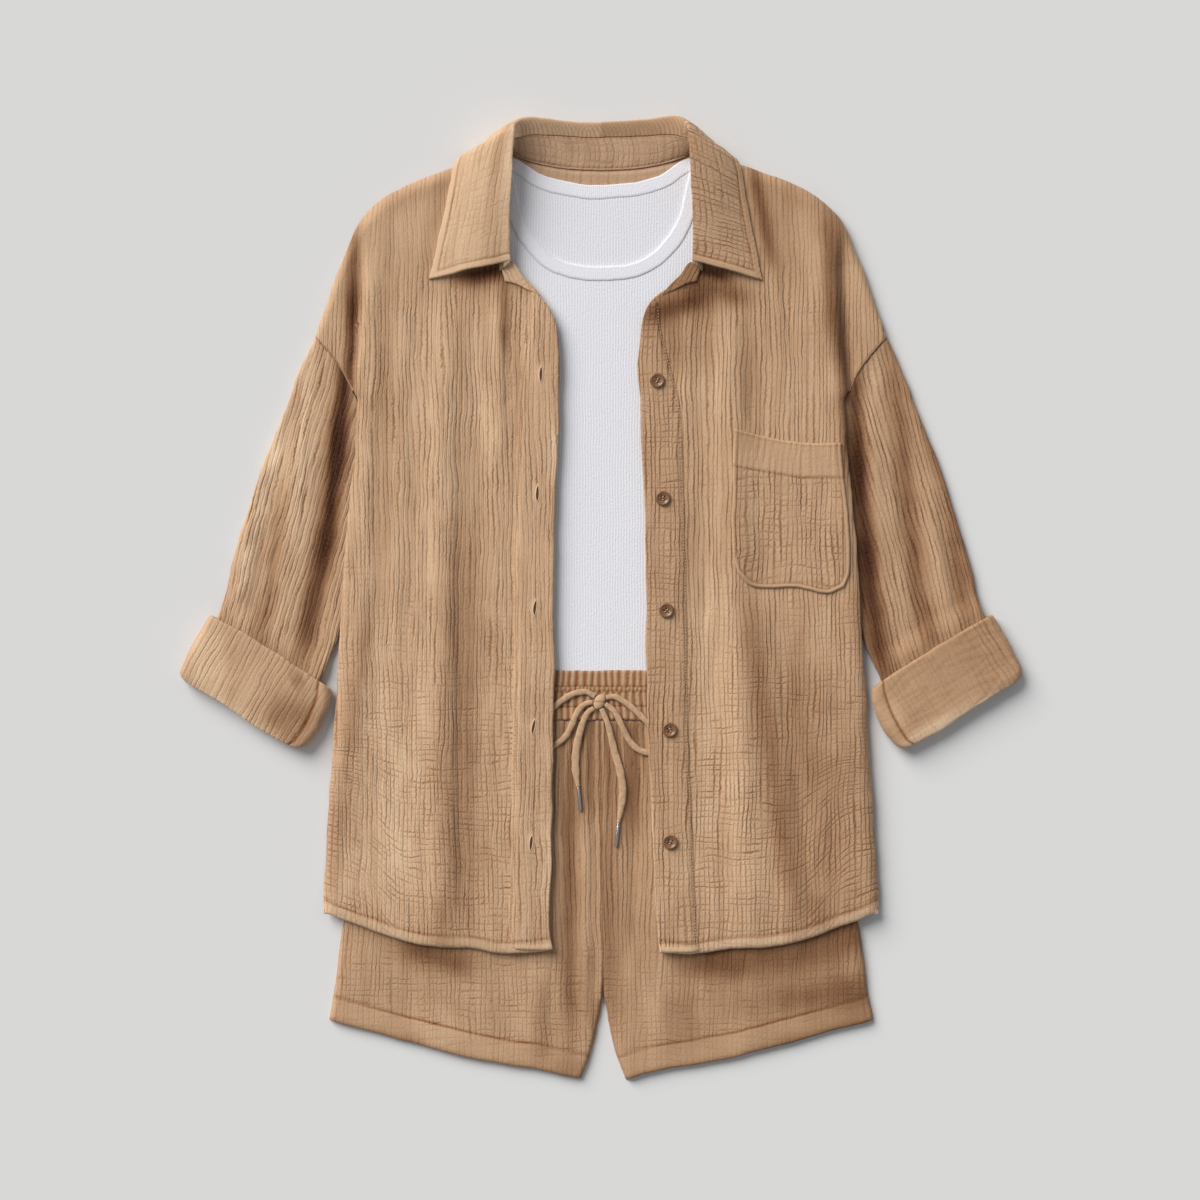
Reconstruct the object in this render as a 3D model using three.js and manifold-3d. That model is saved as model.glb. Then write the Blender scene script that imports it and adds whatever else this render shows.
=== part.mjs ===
// A three-piece shorts set laid flat on its back: an open shirt with turned-up sleeves, a ribbed tank
// top and drawstring shorts. Millimetres, +Z up, +Y towards the collar, +X towards the wearer's left.
// The origin is on the surface that the set lies on, under the middle of its outline.
//
// Every cloth piece is a wall: a surface worked out from tables of its edges, folds and heights, and the
// same surface moved in by the cloth's thickness. Halves share one table, written for the side with +X.
import * as THREE from "three";
import { mergeVertices } from "three/addons/utils/BufferGeometryUtils.js";
import Module from "manifold-3d";

const wasm = await Module();
wasm.setup();

// ---------------------------------------------------------------- driving dimensions
const GAUZE = 1.6; // double gauze, one layer
const JERSEY = 1.2; // ribbed jersey of the tank
const COLLAR_WALL = 1.8; // two layers pressed together
const CUFF_WALL = 3.2; // the sleeve's end rolled on itself
const ELASTIC_WALL = 2; // gathered waistband
const SEAM = 0.4; // half of the space between two pieces at a seam
const LIFT = 0.3; // space between a piece and what it lies on

const SIDES = { right: -1, left: 1 }; // the wearer's sides, as a sign for X

// Heights of the upper face of each layer where nothing folds or rolls.
const TOP = {
  shirtBack: GAUZE,
  overCollar: GAUZE + COLLAR_WALL + LIFT + 0.2, // shirt back where the collar lies under it
  shortsBack: 2 * GAUZE + LIFT,
  tankBack: 5.4,
  tankFront: 6.9,
  waistband: 10,
  shortsFront: 9,
  shortsHem: 6.6,
  shirtFront: 15.6,
  frontNeck: 14.4,
  dropShoulder: 9.8,
  sleeve: 7,
  cuff: 16,
};

// ---------------------------------------------------------------- tables
const table = (columns, rows) =>
  rows.map((row) => Object.fromEntries(columns.map((name, i) => [name, row[i]])));

// Shirt: the outer edge of the front from the hem up, over the underarm, along the armhole seam and up
// the dropped shoulder. z is how high the cloth's edge lies and r how far in it starts to round down.
const SIDE_EDGE = table(["x", "y", "z", "r"], [
  [276.5, -313, 3.4, 12],
  [278.5, -301, 2.4, 14],
  [276.5, -257, 2.4, 14],
  [272, -183, 2.4, 14],
  [265.5, -90, 4, 13],
  [261.5, -40, 11, 9],
  [257, 40, 11.4, 8],
  [247, 150, 11.4, 8],
  [244, 199, 11.2, 8],
]);
const ARMHOLE = table(["x", "y"], [
  [244, 199],
  [250, 212],
  [263.5, 237.5],
  [286.5, 263],
]);
const SHOULDER_EDGE = table(["x", "y", "z", "r"], [
  [286.5, 263, 2.6, 7],
  [268, 316, 2.4, 8],
  [255, 349, 2.4, 9],
  [243.5, 374.5, 2.6, 11],
  [233.5, 388, 3.4, 13],
  [220, 400, 4.8, 14],
  [204, 410, 4.8, 14],
  [181, 421, 4.8, 14],
  [139, 435.7, 4.8, 14],
  [93, 451.5, 4.8, 12],
]);
const NECKLINE = table(["x", "y"], [
  [93, 451.5],
  [97, 438],
  [102.5, 405],
  [104.5, 365],
  [103, 340],
  [96, 322],
]);
const SHIRT_HEM = table(["x", "y"], [
  [276.5, -313],
  [254, -322.5],
  [225, -333],
  [195, -343],
  [165, -348],
  [135, -349],
  [95, -354.5],
]);
// The opening edges differ a little from side to side, as the shirt lies.
const OPENING = {
  right: table(["x", "y"], [
    [48, -350],
    [51.5, -324],
    [50, -280],
    [48.7, -180],
    [46.7, -57],
    [47.3, 39],
    [44.4, 128],
    [41.6, 200],
    [42.5, 262],
    [46.4, 280],
    [54, 295],
    [63.6, 304.6],
    [82.7, 315],
    [96, 322],
  ]),
  left: table(["x", "y"], [
    [59, -352.6],
    [56.6, -339],
    [52.3, -253],
    [48.3, -166],
    [45.5, -57],
    [44.6, 39],
    [42, 120],
    [38.8, 195],
    [36.9, 232],
    [39, 256],
    [42, 280],
    [48, 296],
    [64, 309],
    [96, 322],
  ]),
};
const BAND_WIDTH = 41;
// The bands' outline: how far it reaches past the opening and the hem, how high it stops below the
// neckline, and how it widens from its narrow end over four rows of the opening.
const BAND_CUT = { beyond: 10, hemY: -345, below: 12, stop: 15, narrow: 8, rows: 4 };
const BAND_RAISE = GAUZE + LIFT + 0.3;
const POCKET_RAISE = BAND_RAISE + 0.1;

// Where a front's height changes: the dip towards the neck, the stretches of its edge that round
// down, and the turn from the body to the dropped shoulder.
const NECK_DIP = { y: 270, over: 50, x: 185, across: 60 };
const ROUNDED = { sideTo: 205, shoulderFrom: 255, hemFrom: -280, hemZ: 12.8, hemReach: 16 };
const SHOULDER_TURN = { before: 2, over: 9, dip: 1.6, dipAt: 9, dipWide: 5 };
// Where the corners between two edges of an outline fall, as shares of that side of its patch.
const CORNER = { underarm: 0.9, shoulder: 0.8, collar: 0.8, neck: 0.65 };

// The fold where the front's body turns down to the dropped shoulder, and how deep it is.
const ARM_CREASE = table(["y", "x", "depth"], [
  [165, 250, 0],
  [203, 245, 1],
  [240, 239.5, 1],
  [290, 235.5, 1],
  [333, 233.5, 0.8],
  [374, 236, 0.15],
  [390, 238, 0],
]);

// Folds as soft ridges (h over 0) or troughs between two points, w wide from the middle to the side.
const FOLD_COLUMNS = ["x0", "y0", "x1", "y1", "w", "h"];
const FOLD_END = { share: 0.18, start: 0.3 }; // a fold fades over this share of its length at each end
const FRONT_FOLDS = {
  right: table(FOLD_COLUMNS, [
    [158, 285, 161, -345, 17, 3.6],
    [127, 285, 124, -345, 13, -1.6],
    [224, 360, 246, -180, 10, 1.6],
    [196, 300, 206, -60, 10, 1.4],
    [103, 290, 99, 140, 8, 1.8],
    [84, -60, 79, -345, 13, 1.2],
  ]),
  left: table(FOLD_COLUMNS, [
    [125, 290, 150, -345, 17, 3.8],
    [160, 10, 193, -335, 15, 2.2],
    [100, 120, 104, -300, 12, -1.2],
    [220, 360, 236, 190, 10, 1.4],
    [88, 290, 84, 150, 8, 1.4],
    [238, -140, 250, -300, 12, 1.2],
  ]),
};
const SLEEVE_FOLDS = {
  right: table(FOLD_COLUMNS, [
    [326, 130, 350, -24, 8, -2],
    [303, 175, 322, -50, 9, 1.6],
    [276, 150, 293, -66, 8, -1.8],
    [345, 90, 368, -14, 7, 1.2],
  ]),
  left: table(FOLD_COLUMNS, [
    [268, 205, 290, -52, 9, 1.8],
    [300, 150, 322, -40, 8, -2],
    [326, 120, 346, -24, 9, 1.6],
    [352, 60, 366, -12, 7, -1.4],
  ]),
};
const SHORTS_FOLDS = {
  right: table(FOLD_COLUMNS, [
    [30, -180, 28, -430, 8, -1.8],
    [14, -175, 16, -380, 6, 0.8],
    [62, -330, 66, -450, 14, 1.2],
  ]),
  left: table(FOLD_COLUMNS, [
    [32, -180, 34, -350, 7, -1.6],
    [52, -180, 60, -465, 13, 1.6],
    [16, -300, 18, -430, 7, -1],
  ]),
};

// Sleeve, laid as a flat tube. The seam continues the armhole under the front down to the underarm.
const SLEEVE_SEAM = [...ARMHOLE].reverse().concat(table(["x", "y"], [[239, 180], [231, 150]]));
const SLEEVE_OUTER = table(["x", "y"], [
  [407, -75],
  [400, -48],
  [382, -13],
  [369, 39],
  [355, 85],
  [337.5, 139],
  [320.5, 180],
  [303, 227],
  [293, 250],
  [286.5, 263],
]);
const SLEEVE_INNER = table(["x", "y"], [
  [304, -135],
  [291, -106],
  [280, -79],
  [264, -42],
  [248, 20],
  [238, 80],
  [232, 130],
  [231, 150],
]);
// Cuff: its four edges, the open end first.
const CUFF = {
  mouth: table(["x", "y"], [[414, -85], [400, -92], [369.6, -111], [339, -132], [310.4, -147], [301, -149]]),
  sleeveEnd: table(["x", "y"], [[391, -15], [373.7, -24.3], [339, -44.7], [298, -71], [271, -89]]),
  outer: table(["x", "y"], [[414, -85], [421, -76], [418.5, -65], [405, -38], [391, -15]]),
  inner: table(["x", "y"], [[301, -149], [293, -145], [280.5, -127], [271.5, -103], [271, -89]]),
};

// The side seam of the back runs inside the front's edge where the sleeve lies under the front.
const BACK_SIDE = table(["x", "y"], [
  [275.5, -301],
  [270, -180],
  [262, -100],
  [247, -50],
  [240, 20],
  [233, 90],
  [228, 130],
  [228.5, 150],
  [236.2, 180],
  [248.4, 212.6],
  [262.2, 238.4],
  [285.4, 263],
]);
const BACK_HEM = table(["x", "y"], [[275.5, -301], [225, -320], [165, -336], [95, -342], [0, -343]]);
const BACK_NECK = table(["x", "y"], [[93, 451.5], [83, 442], [62, 435.5], [35, 431], [0, 430]]);
const COLLAR_REACH = { from: 380, to: 400 }; // the back rises over the collar between these

// Collar: sections from the front end over the shoulder (the fourth) to the middle of the back. Each
// goes from the neck seam up the stand, over the fold, and down the fall to its edge.
const KEYS = ["neck", "seam", "fold", "mid", "turn", "edge"];
const COLLAR_SECTIONS = table(KEYS, [
  [
    [100.5, 328, 15.2], [96.5, 331, 18.4], [92, 336.5, 22.4],
    [124, 329.6, 23.4], [149, 324, 21], [172, 318.5, 17.6],
  ],
  [
    [102.2, 365, 15.1], [97.4, 367, 21.5], [92, 370, 27],
    [118, 364, 26], [141, 359, 22], [163.5, 354, 17.6],
  ],
  [
    [100.3, 405, 14.9], [94, 408, 26.5], [90.5, 412, 31.5],
    [113, 406, 29.5], [134, 399, 24.5], [155.5, 391, 17.6],
  ],
  [
    [90.5, 447, 10], [88.5, 453, 27], [88, 460, 33.5],
    [110, 451, 30], [130, 442.5, 23.5], [147, 433.5, 15.5],
  ],
  [
    [87, 446, 8], [86.8, 457.6, 23.2], [87, 467.5, 32.5],
    [108, 459, 25], [123, 451, 14], [133.5, 444, 5.5],
  ],
  [
    [80, 442, 7.1], [82.7, 459.5, 20.4], [85.5, 474, 29],
    [102, 468, 17], [115, 458, 2.4], [121, 448.5, 0.2],
  ],
  [
    [60, 436, 6.2], [65, 463.5, 14], [71, 479.3, 20],
    [76, 479.2, 9.5], [76, 470, 0.2], [68, 424, 0.2],
  ],
  [
    [33, 431.5, 6], [35, 462.5, 9.8], [37, 476.8, 14],
    [39, 475.5, 5.5], [39, 464, 0.2], [35, 418, 0.2],
  ],
  [
    [0, 430, 6], [0, 461.5, 8.8], [0, 474.8, 12.4],
    [0, 474, 4.8], [0, 463, 0.2], [0, 415, 0.2],
  ],
]);
const FALL_WIDTH = { right: 1, left: 0.87 }; // the left leaf lies a little narrower

// Chest pocket, clockwise from the top corner by the opening, on the wearer's left.
const POCKET = table(["x", "y"], [
  [132.7, 168.8],
  [162, 162.2],
  [183, 158.3],
  [211, 155.5],
  [240, 155.3],
  [243, 115],
  [247.5, 73],
  [248, 28],
  [242, 12],
  [226, 5.3],
  [197, 11],
  [169, 11],
  [150, 14],
  [136, 26],
  [131, 46],
  [131, 100],
]);
const PLACED = ["x", "y", "turn"];
const BUTTONS = table(PLACED, [
  [56, 218, 20],
  [61.7, 100.5, 40],
  [65, -11.3, 0],
  [68.5, -130.4, 65],
  [68.9, -242.3, 30],
]);
const BUTTONHOLES = table(PLACED, [
  [59.8, 224, 2],
  [63, 104.6, 3],
  [65.5, -8.8, 4],
  [67.4, -127.5, 8],
  [69.3, -243.3, 10],
]);
const BUTTON = { radius: 7.4, height: 3, dish: 1, holeRadius: 1, holeSpread: 1.9 };
const BUTTONHOLE = { length: 14, width: 2.4 };

// Tank top, tucked into the shorts. Both faces are cut flat.
const TANK_SIDE = table(["x", "y"], [
  [150, -144],
  [152, -70],
  [170, 20],
  [182, 150],
  [188, 250],
  [160, 300],
  [140, 370],
  [132, 431],
]);
const TANK_NECK = {
  front: table(["x", "y"], [
    [104, 431], [98, 405], [91.5, 380], [78, 355], [56, 332], [30, 321.5], [0, 319.5],
  ]),
  back: table(["x", "y"], [[104, 431], [88, 427], [66, 413], [42, 405.5], [20, 402], [0, 401]]),
};
const BINDING = 13.5;
const BINDING_RAISE = { back: 0.1, front: 0.6 }; // how far it stands over the cloth it edges

// Shorts: the outer edge from the hem up, the hem, and the inner leg with the crotch seam above it.
const SHORTS_SIDE = table(["x", "y", "z", "r"], [
  [273, -421.5, 2.3, 9],
  [268.5, -398, 2.5, 9],
  [264, -366, 3.2, 9],
  [258, -325, 4.6, 8],
  [240, -262, 4.6, 8],
  [208, -190, 4.6, 8],
  [178, -130, 4.6, 8],
  [168, -121.5, 4.6, 8],
]);
const SHORTS_HEM = table(["x", "y"], [
  [273, -421.5],
  [232, -432.5],
  [181, -446.5],
  [140, -457.5],
  [99, -465.7],
  [58, -472],
  [23, -480.7],
]);
const SHORTS_INNER = {
  right: table(["x", "y"], [
    [20, -480.7], [11, -458], [5.5, -437], [-0.5, -405], [-2, -370], [-0.5, -260], [1, -121.5],
  ]),
  left: table(["x", "y"], [
    [25, -480.7], [15.5, -458], [9.5, -434], [4.5, -405], [3, -370], [1.5, -260], [0, -121.5],
  ]),
};
const LEG_EDGE = { rows: 4, z: 2.6, r: 8, below: -380 }; // the inner leg's edge, under the crotch
const SHORTS_STEP = { y: -390, slant: 0.15, over: 30 }; // where the back comes down off the shirt's hem
const SHORTS_RISE = { y: -440, over: 130 }; // where the front comes down towards its hem
const WAIST = { top: -71.5, bottom: -121, halfWidth: 168, inset: 3, low: GAUZE + LIFT };
const GATHERS = { pleat: 8, ripple: 0.7 };

// Drawstring: a flat tape, wider than it is thick. Each run leaves the knot at an angle, and a loop
// comes back to it at another.
const CORD = { width: 5.2, thick: 2.8, sides: 8, widthsPerStep: 2.4, clear: 1.5 * LIFT };
const KNOT = { x: -1.5, y: -102.5, long: 8, across: 5.4, high: 5, turn: 65, clear: 0.8 };
const CORD_RUNS = {
  drawstring_loop_right: {
    leaves: 132,
    returns: 186,
    route: table(["x", "y"], [
      [-14, -93], [-26, -94], [-38.7, -101], [-52, -112], [-64, -123], [-71, -136], [-65, -146.5],
      [-54, -148.5], [-44, -144.5], [-34.5, -136], [-28.5, -124], [-22.5, -111], [-15, -104.5],
    ]),
  },
  drawstring_loop_left: {
    leaves: 32,
    returns: 338,
    route: table(["x", "y"], [
      [13, -97.5], [23, -102.5], [35, -112], [47, -124], [57, -135], [61.5, -145.5],
      [56, -153], [46, -153.5], [36, -149.5], [27.5, -140], [20.5, -126], [13.5, -112.5],
    ]),
  },
  drawstring_end_right: {
    leaves: 228,
    route: table(["x", "y"], [[-13.5, -114], [-19, -126], [-25, -152], [-25.3, -171], [-22.8, -188]]),
  },
  drawstring_end_left: {
    leaves: 285,
    route: table(["x", "y"], [
      [6.5, -124], [13.5, -152], [19, -171.5], [21.6, -190.7], [20, -209.8], [17.4, -224],
    ]),
  },
};
// The metal tips, each from the end of a run to a point.
const AGLETS = {
  aglet_right: { run: "drawstring_end_right", to: { x: -20.6, y: -212 } },
  aglet_left: { run: "drawstring_end_left", to: { x: 14.6, y: -248 } },
};
const AGLET = { radius: 1.7, crimp: 0.25, clear: 0.4 };

// ---------------------------------------------------------------- curves
const clamp = (t, low = 0, high = 1) => Math.min(high, Math.max(low, t));
const smooth = (t) => clamp(t) ** 2 * (3 - 2 * clamp(t));
const mix = (a, b, t) => a + (b - a) * t;

// A smooth curve through the rows of a table, over 0 to 1 by chord length. The result holds the
// columns named, so heights and widths given in a table run along the curve too.
function curve(rows, columns = ["x", "y"]) {
  const at = [0];
  for (let i = 1; i < rows.length; i++)
    at.push(at[i - 1] + Math.hypot(...["x", "y"].map((c) => rows[i][c] - rows[i - 1][c])));
  const total = at[at.length - 1];
  const slope = (i, c) => {
    const a = Math.max(i - 1, 0);
    const b = Math.min(i + 1, rows.length - 1);
    return (rows[b][c] - rows[a][c]) / (at[b] - at[a]);
  };
  return (t) => {
    const s = clamp(t) * total;
    let i = 0;
    while (i < rows.length - 2 && at[i + 1] < s) i++;
    const h = at[i + 1] - at[i];
    const k = (s - at[i]) / h;
    const out = {};
    for (const c of columns)
      out[c] =
        (1 + 2 * k) * (1 - k) ** 2 * rows[i][c] +
        k * (1 - k) ** 2 * h * slope(i, c) +
        k * k * (3 - 2 * k) * rows[i + 1][c] +
        k * k * (k - 1) * h * slope(i + 1, c);
    return out;
  };
}

// Two curves end to end, the first over 0 to split and the second over the rest: a sharp corner.
const joined = (first, second, split) => (t) =>
  t < split ? first(t / split) : second((t - split) / (1 - split));

// The value of a column where another column, which only rises, has a given value.
function lookUp(rows, key, value, column) {
  let i = 0;
  while (i < rows.length - 2 && rows[i + 1][key] < value) i++;
  const t = clamp((value - rows[i][key]) / (rows[i + 1][key] - rows[i][key]));
  return mix(rows[i][column], rows[i + 1][column], t);
}

// The patch between four curves that meet at its corners: u runs left to right, v bottom to top.
function patch({ bottom, top, left, right }) {
  const corner = [bottom(0), bottom(1), top(0), top(1)];
  const blend = (u, v, c) =>
    (1 - v) * bottom(u)[c] +
    v * top(u)[c] +
    (1 - u) * left(v)[c] +
    u * right(v)[c] -
    (1 - v) * ((1 - u) * corner[0][c] + u * corner[1][c]) -
    v * ((1 - u) * corner[2][c] + u * corner[3][c]);
  return (u, v) => ({ x: blend(u, v, "x"), y: blend(u, v, "y") });
}

// ---------------------------------------------------------------- heights
// How much a fold lifts the cloth at a point.
function foldHeight(folds, x, y) {
  let sum = 0;
  for (const f of folds) {
    const dx = f.x1 - f.x0;
    const dy = f.y1 - f.y0;
    const along = ((x - f.x0) * dx + (y - f.y0) * dy) / (dx * dx + dy * dy);
    const away = ((x - f.x0) * dy - (y - f.y0) * dx) / Math.hypot(dx, dy);
    const faded = (share) => smooth(share / FOLD_END.share + FOLD_END.start);
    const fade = faded(along) * faded(1 - along);
    sum += f.h * fade * Math.exp(-((away / f.w) ** 2));
  }
  return sum;
}

// Rounds a height down to an edge: rows hold the edge's place, its height z and the round's reach r.
function edgeRounder(rows, steps = 60) {
  const along = curve(rows, ["x", "y", "z", "r"]);
  const line = Array.from({ length: steps + 1 }, (_, i) => along(i / steps));
  return (x, y, height) => {
    let best = Infinity;
    let z = height;
    for (let i = 0; i < steps; i++) {
      const a = line[i];
      const b = line[i + 1];
      const dx = b.x - a.x;
      const dy = b.y - a.y;
      const t = clamp(((x - a.x) * dx + (y - a.y) * dy) / (dx * dx + dy * dy));
      const away = Math.hypot(x - mix(a.x, b.x, t), y - mix(a.y, b.y, t));
      if (away < best) {
        best = away;
        const k = clamp(1 - away / mix(a.r, b.r, t));
        z = mix(mix(a.z, b.z, t), height, Math.sqrt(1 - k * k));
      }
    }
    return z;
  };
}
const withEdge = (rows, z, r) => rows.map((row) => ({ ...row, z, r }));

const roundSide = edgeRounder(SIDE_EDGE);
const roundShoulder = edgeRounder(SHOULDER_EDGE);
const roundHem = edgeRounder(withEdge(SHIRT_HEM, ROUNDED.hemZ, ROUNDED.hemReach));

// Upper face of a shirt front, for x counted outwards from the middle.
function frontHeight(side, x, y) {
  const neck = smooth((y - NECK_DIP.y) / NECK_DIP.over) * smooth((NECK_DIP.x - x) / NECK_DIP.across);
  let z = mix(TOP.shirtFront, TOP.frontNeck, neck) + foldHeight(FRONT_FOLDS[side], x, y);
  const crease = lookUp(ARM_CREASE, "y", y, "x");
  const depth = lookUp(ARM_CREASE, "y", y, "depth");
  const { before, over, dip, dipAt, dipWide } = SHOULDER_TURN;
  z = mix(z, TOP.dropShoulder, smooth((x - crease + before) / over) * depth);
  z -= dip * depth * Math.exp(-(((x - crease - dipAt) / dipWide) ** 2));
  if (y < ROUNDED.sideTo) z = roundSide(x, y, z);
  if (y > ROUNDED.shoulderFrom) z = roundShoulder(x, y, z);
  return y < ROUNDED.hemFrom ? roundHem(x, y, z) : z;
}

const backHeight = (x, y) => {
  const { from, to } = COLLAR_REACH;
  return mix(TOP.shirtBack, TOP.overCollar, smooth((y - from) / (to - from)));
};

// Shorts: the back lies on the shirt's back and then on the surface, and the front on the back.
const shortsBackHeight = (x, y) => {
  const { y: from, slant, over } = SHORTS_STEP;
  return mix(GAUZE, TOP.shortsBack, smooth((y - from - slant * x) / over));
};
const roundShortsSide = edgeRounder(SHORTS_SIDE.slice(0, 6)); // up to where the shirt covers it
const legRounder = (rows) => edgeRounder(withEdge(rows.slice(0, LEG_EDGE.rows), LEG_EDGE.z, LEG_EDGE.r));
const roundInner = { right: legRounder(SHORTS_INNER.right), left: legRounder(SHORTS_INNER.left) };
function shortsFrontHeight(side, x, y) {
  let z = mix(TOP.shortsHem, TOP.shortsFront, smooth((y - SHORTS_RISE.y) / SHORTS_RISE.over));
  z = roundShortsSide(x, y, z + foldHeight(SHORTS_FOLDS[side], x, y));
  return y < LEG_EDGE.below ? roundInner[side](x, y, z) : z;
}

// ---------------------------------------------------------------- solids
const spaced = (n) => Array.from({ length: n + 1 }, (_, i) => i / n);

function solidOf(positions, faces) {
  const vertProperties = new Float32Array(positions.flat());
  const triVerts = new Uint32Array(faces.flat());
  const made = new wasm.Manifold(new wasm.Mesh({ numProp: 3, vertProperties, triVerts }));
  if (made.volume() > 0) return made;
  return solidOf(positions, faces.map(([a, b, c]) => [a, c, b]));
}

function geometryOf(solid) {
  const mesh = solid.getMesh();
  const geometry = new THREE.BufferGeometry();
  geometry.setAttribute("position", new THREE.BufferAttribute(new Float32Array(mesh.vertProperties), 3));
  geometry.setIndex(new THREE.BufferAttribute(new Uint32Array(mesh.triVerts), 1));
  geometry.computeVertexNormals();
  return geometry;
}

function manifoldOf(geometry) {
  const bare = geometry.clone();
  bare.deleteAttribute("normal");
  bare.deleteAttribute("uv");
  const merged = mergeVertices(bare, 1e-4);
  const p = merged.getAttribute("position").array;
  const positions = spaced(p.length / 3 - 1).map((_, i) => [p[3 * i], p[3 * i + 1], p[3 * i + 2]]);
  const index = merged.index.array;
  const corners = spaced(index.length / 3 - 1).map((_, i) => 3 * i);
  const faces = corners.map((i) => [index[i], index[i + 1], index[i + 2]]);
  return solidOf(positions, faces);
}

// The surface's points and the same points moved in along its normal.
function twoFaces(surface, us, vs, thickness) {
  const step = 1e-3;
  const inside = (t, closed) => (closed ? t : clamp(t, step, 1 - step));
  const faces = { outer: [], inner: [] };
  for (const v of vs)
    for (const u of us) {
      const here = new THREE.Vector3(...surface(u, v));
      const a = inside(u, surface.closed);
      const b = inside(v, false);
      const du = new THREE.Vector3(...surface(a + step, b)).sub(new THREE.Vector3(...surface(a - step, b)));
      const dv = new THREE.Vector3(...surface(a, b + step)).sub(new THREE.Vector3(...surface(a, b - step)));
      const normal = du.cross(dv).normalize().multiplyScalar(thickness);
      faces.outer.push(here.toArray());
      faces.inner.push(here.sub(normal).toArray());
    }
  return faces;
}

// A wall over a grid of u and v. Its front is where u and v turn anticlockwise.
function wall(surface, us, vs, thickness) {
  const { outer, inner } = twoFaces(surface, us, vs, thickness);
  const columns = us.length;
  const faces = [];
  const all = [...outer, ...inner];
  // Each face of four corners is cut along the diagonal that changes height least, as the folds run.
  const rise = (i, j) => Math.abs(all[i][2] - all[j][2]);
  const quad = (a, b, c, d) =>
    rise(a, c) > rise(b, d) ? faces.push([a, b, d], [b, c, d]) : faces.push([a, b, c], [a, c, d]);
  const shift = outer.length;
  const around = surface.closed ? columns : columns - 1;
  const last = (vs.length - 1) * columns;
  for (let j = 0; j < vs.length - 1; j++)
    for (let i = 0; i < around; i++) {
      const a = j * columns + i;
      const b = j * columns + ((i + 1) % columns);
      quad(a, b, b + columns, a + columns);
      quad(a + shift, a + columns + shift, b + columns + shift, b + shift);
    }
  for (let i = 0; i < around; i++) {
    const next = (i + 1) % columns;
    quad(i + shift, next + shift, next, i);
    quad(last + i, last + next, last + next + shift, last + i + shift);
  }
  if (!surface.closed)
    for (let j = 0; j < vs.length - 1; j++) {
      const a = j * columns;
      const b = a + columns - 1;
      quad(a, a + columns, a + columns + shift, a + shift);
      quad(b + shift, b + columns + shift, b + columns, b);
    }
  return solidOf(all, faces);
}

// A half of the garment: its patch for +X, turned over for the other side, with its own height.
function laidPanel(side, outline, height, us, vs, thickness = GAUZE) {
  const sign = SIDES[side];
  const place = patch(outline);
  const surface = (u, v) => {
    const { x, y } = place(sign > 0 ? 1 - u : u, v);
    return [sign * x, y, height(x, y)];
  };
  return wall(surface, sign > 0 ? us.map((u) => 1 - u).reverse() : us, vs, thickness);
}

// A flat tube: its section is a stadium across the patch, from the outer edge over the top and back
// underneath. low and high give its lower and upper face at a place.
function laidTube(side, outline, low, high, flats, vs, thickness) {
  const sign = SIDES[side];
  const place = patch(outline);
  const ends = [0, 30, 60, 90];
  const top = flats.map((f) => ({ across: f, lift: 1 }));
  const under = [flats[0], 0.5, flats[flats.length - 1]].map((f) => ({ across: f, lift: -1 }));
  const cap = (degrees, side) => ({ degrees, side });
  const ring = [
    ...ends.map((d) => cap(d, 0)).slice(0, -1),
    ...top,
    ...ends.map((d) => cap(90 - d, 1)).slice(1, -1),
    cap(0, 1),
    ...ends.map((d) => cap(-d, 1)).slice(1, -1),
    ...under.reverse(),
    ...ends.map((d) => cap(d - 90, 0)).slice(1, -1),
  ];
  const outerPoint = (node, v) => {
    const a = place(0, v);
    const b = place(1, v);
    const width = Math.hypot(b.x - a.x, b.y - a.y);
    const middle = place(0.5, v);
    const round = (high(middle.x, middle.y) - low(middle.x, middle.y)) / 2;
    if (node.lift) {
      const { x, y } = place(mix(round / width, 1 - round / width, node.across), v);
      return [sign * x, y, node.lift > 0 ? high(x, y) : low(x, y)];
    }
    const angle = THREE.MathUtils.degToRad(node.degrees);
    const inset = (round * (1 - Math.cos(angle))) / width;
    const { x, y } = place(node.side ? 1 - inset : inset, v);
    const centre = (high(x, y) + low(x, y)) / 2;
    return [sign * x, y, centre + ((high(x, y) - low(x, y)) / 2) * Math.sin(angle)];
  };
  const surface = (u, v) => {
    const turn = (((sign > 0 ? 1 - u : u) % 1) + 1) % 1;
    const at = turn * ring.length;
    const i = Math.floor(at + 1e-9) % ring.length;
    const t = Math.max(0, at - Math.floor(at + 1e-9));
    const a = outerPoint(ring[i], v);
    const b = outerPoint(ring[(i + 1) % ring.length], v);
    return a.map((value, k) => mix(value, b[k], t));
  };
  surface.closed = true;
  const us = ring.map((_, i) => i / ring.length);
  return wall(surface, us, vs, thickness);
}

// An upright prism over a closed outline, for cutting a piece out of a panel.
function prism(points, low, high) {
  const shape = new THREE.Shape(points.map(({ x, y }) => new THREE.Vector2(x, y)));
  const geometry = new THREE.ExtrudeGeometry(shape, { depth: high - low, bevelEnabled: false });
  return manifoldOf(geometry.translate(0, 0, low));
}

// A piece that lies on a panel: the panel's own wall moved up and cut to the piece's outline.
const CUT = { low: -20, high: 60 }; // heights that clear the whole set
const laidOn = (panel, outline, raise) =>
  panel.translate([0, 0, raise]).intersect(prism(outline, CUT.low, CUT.high));

// ---------------------------------------------------------------- shirt
const mirrored = (rows, side) => rows.map((row) => ({ ...row, x: row.x * SIDES[side] }));
const lowered = (rows, by) => rows.map((row) => ({ ...row, y: row.y - by }));

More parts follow.
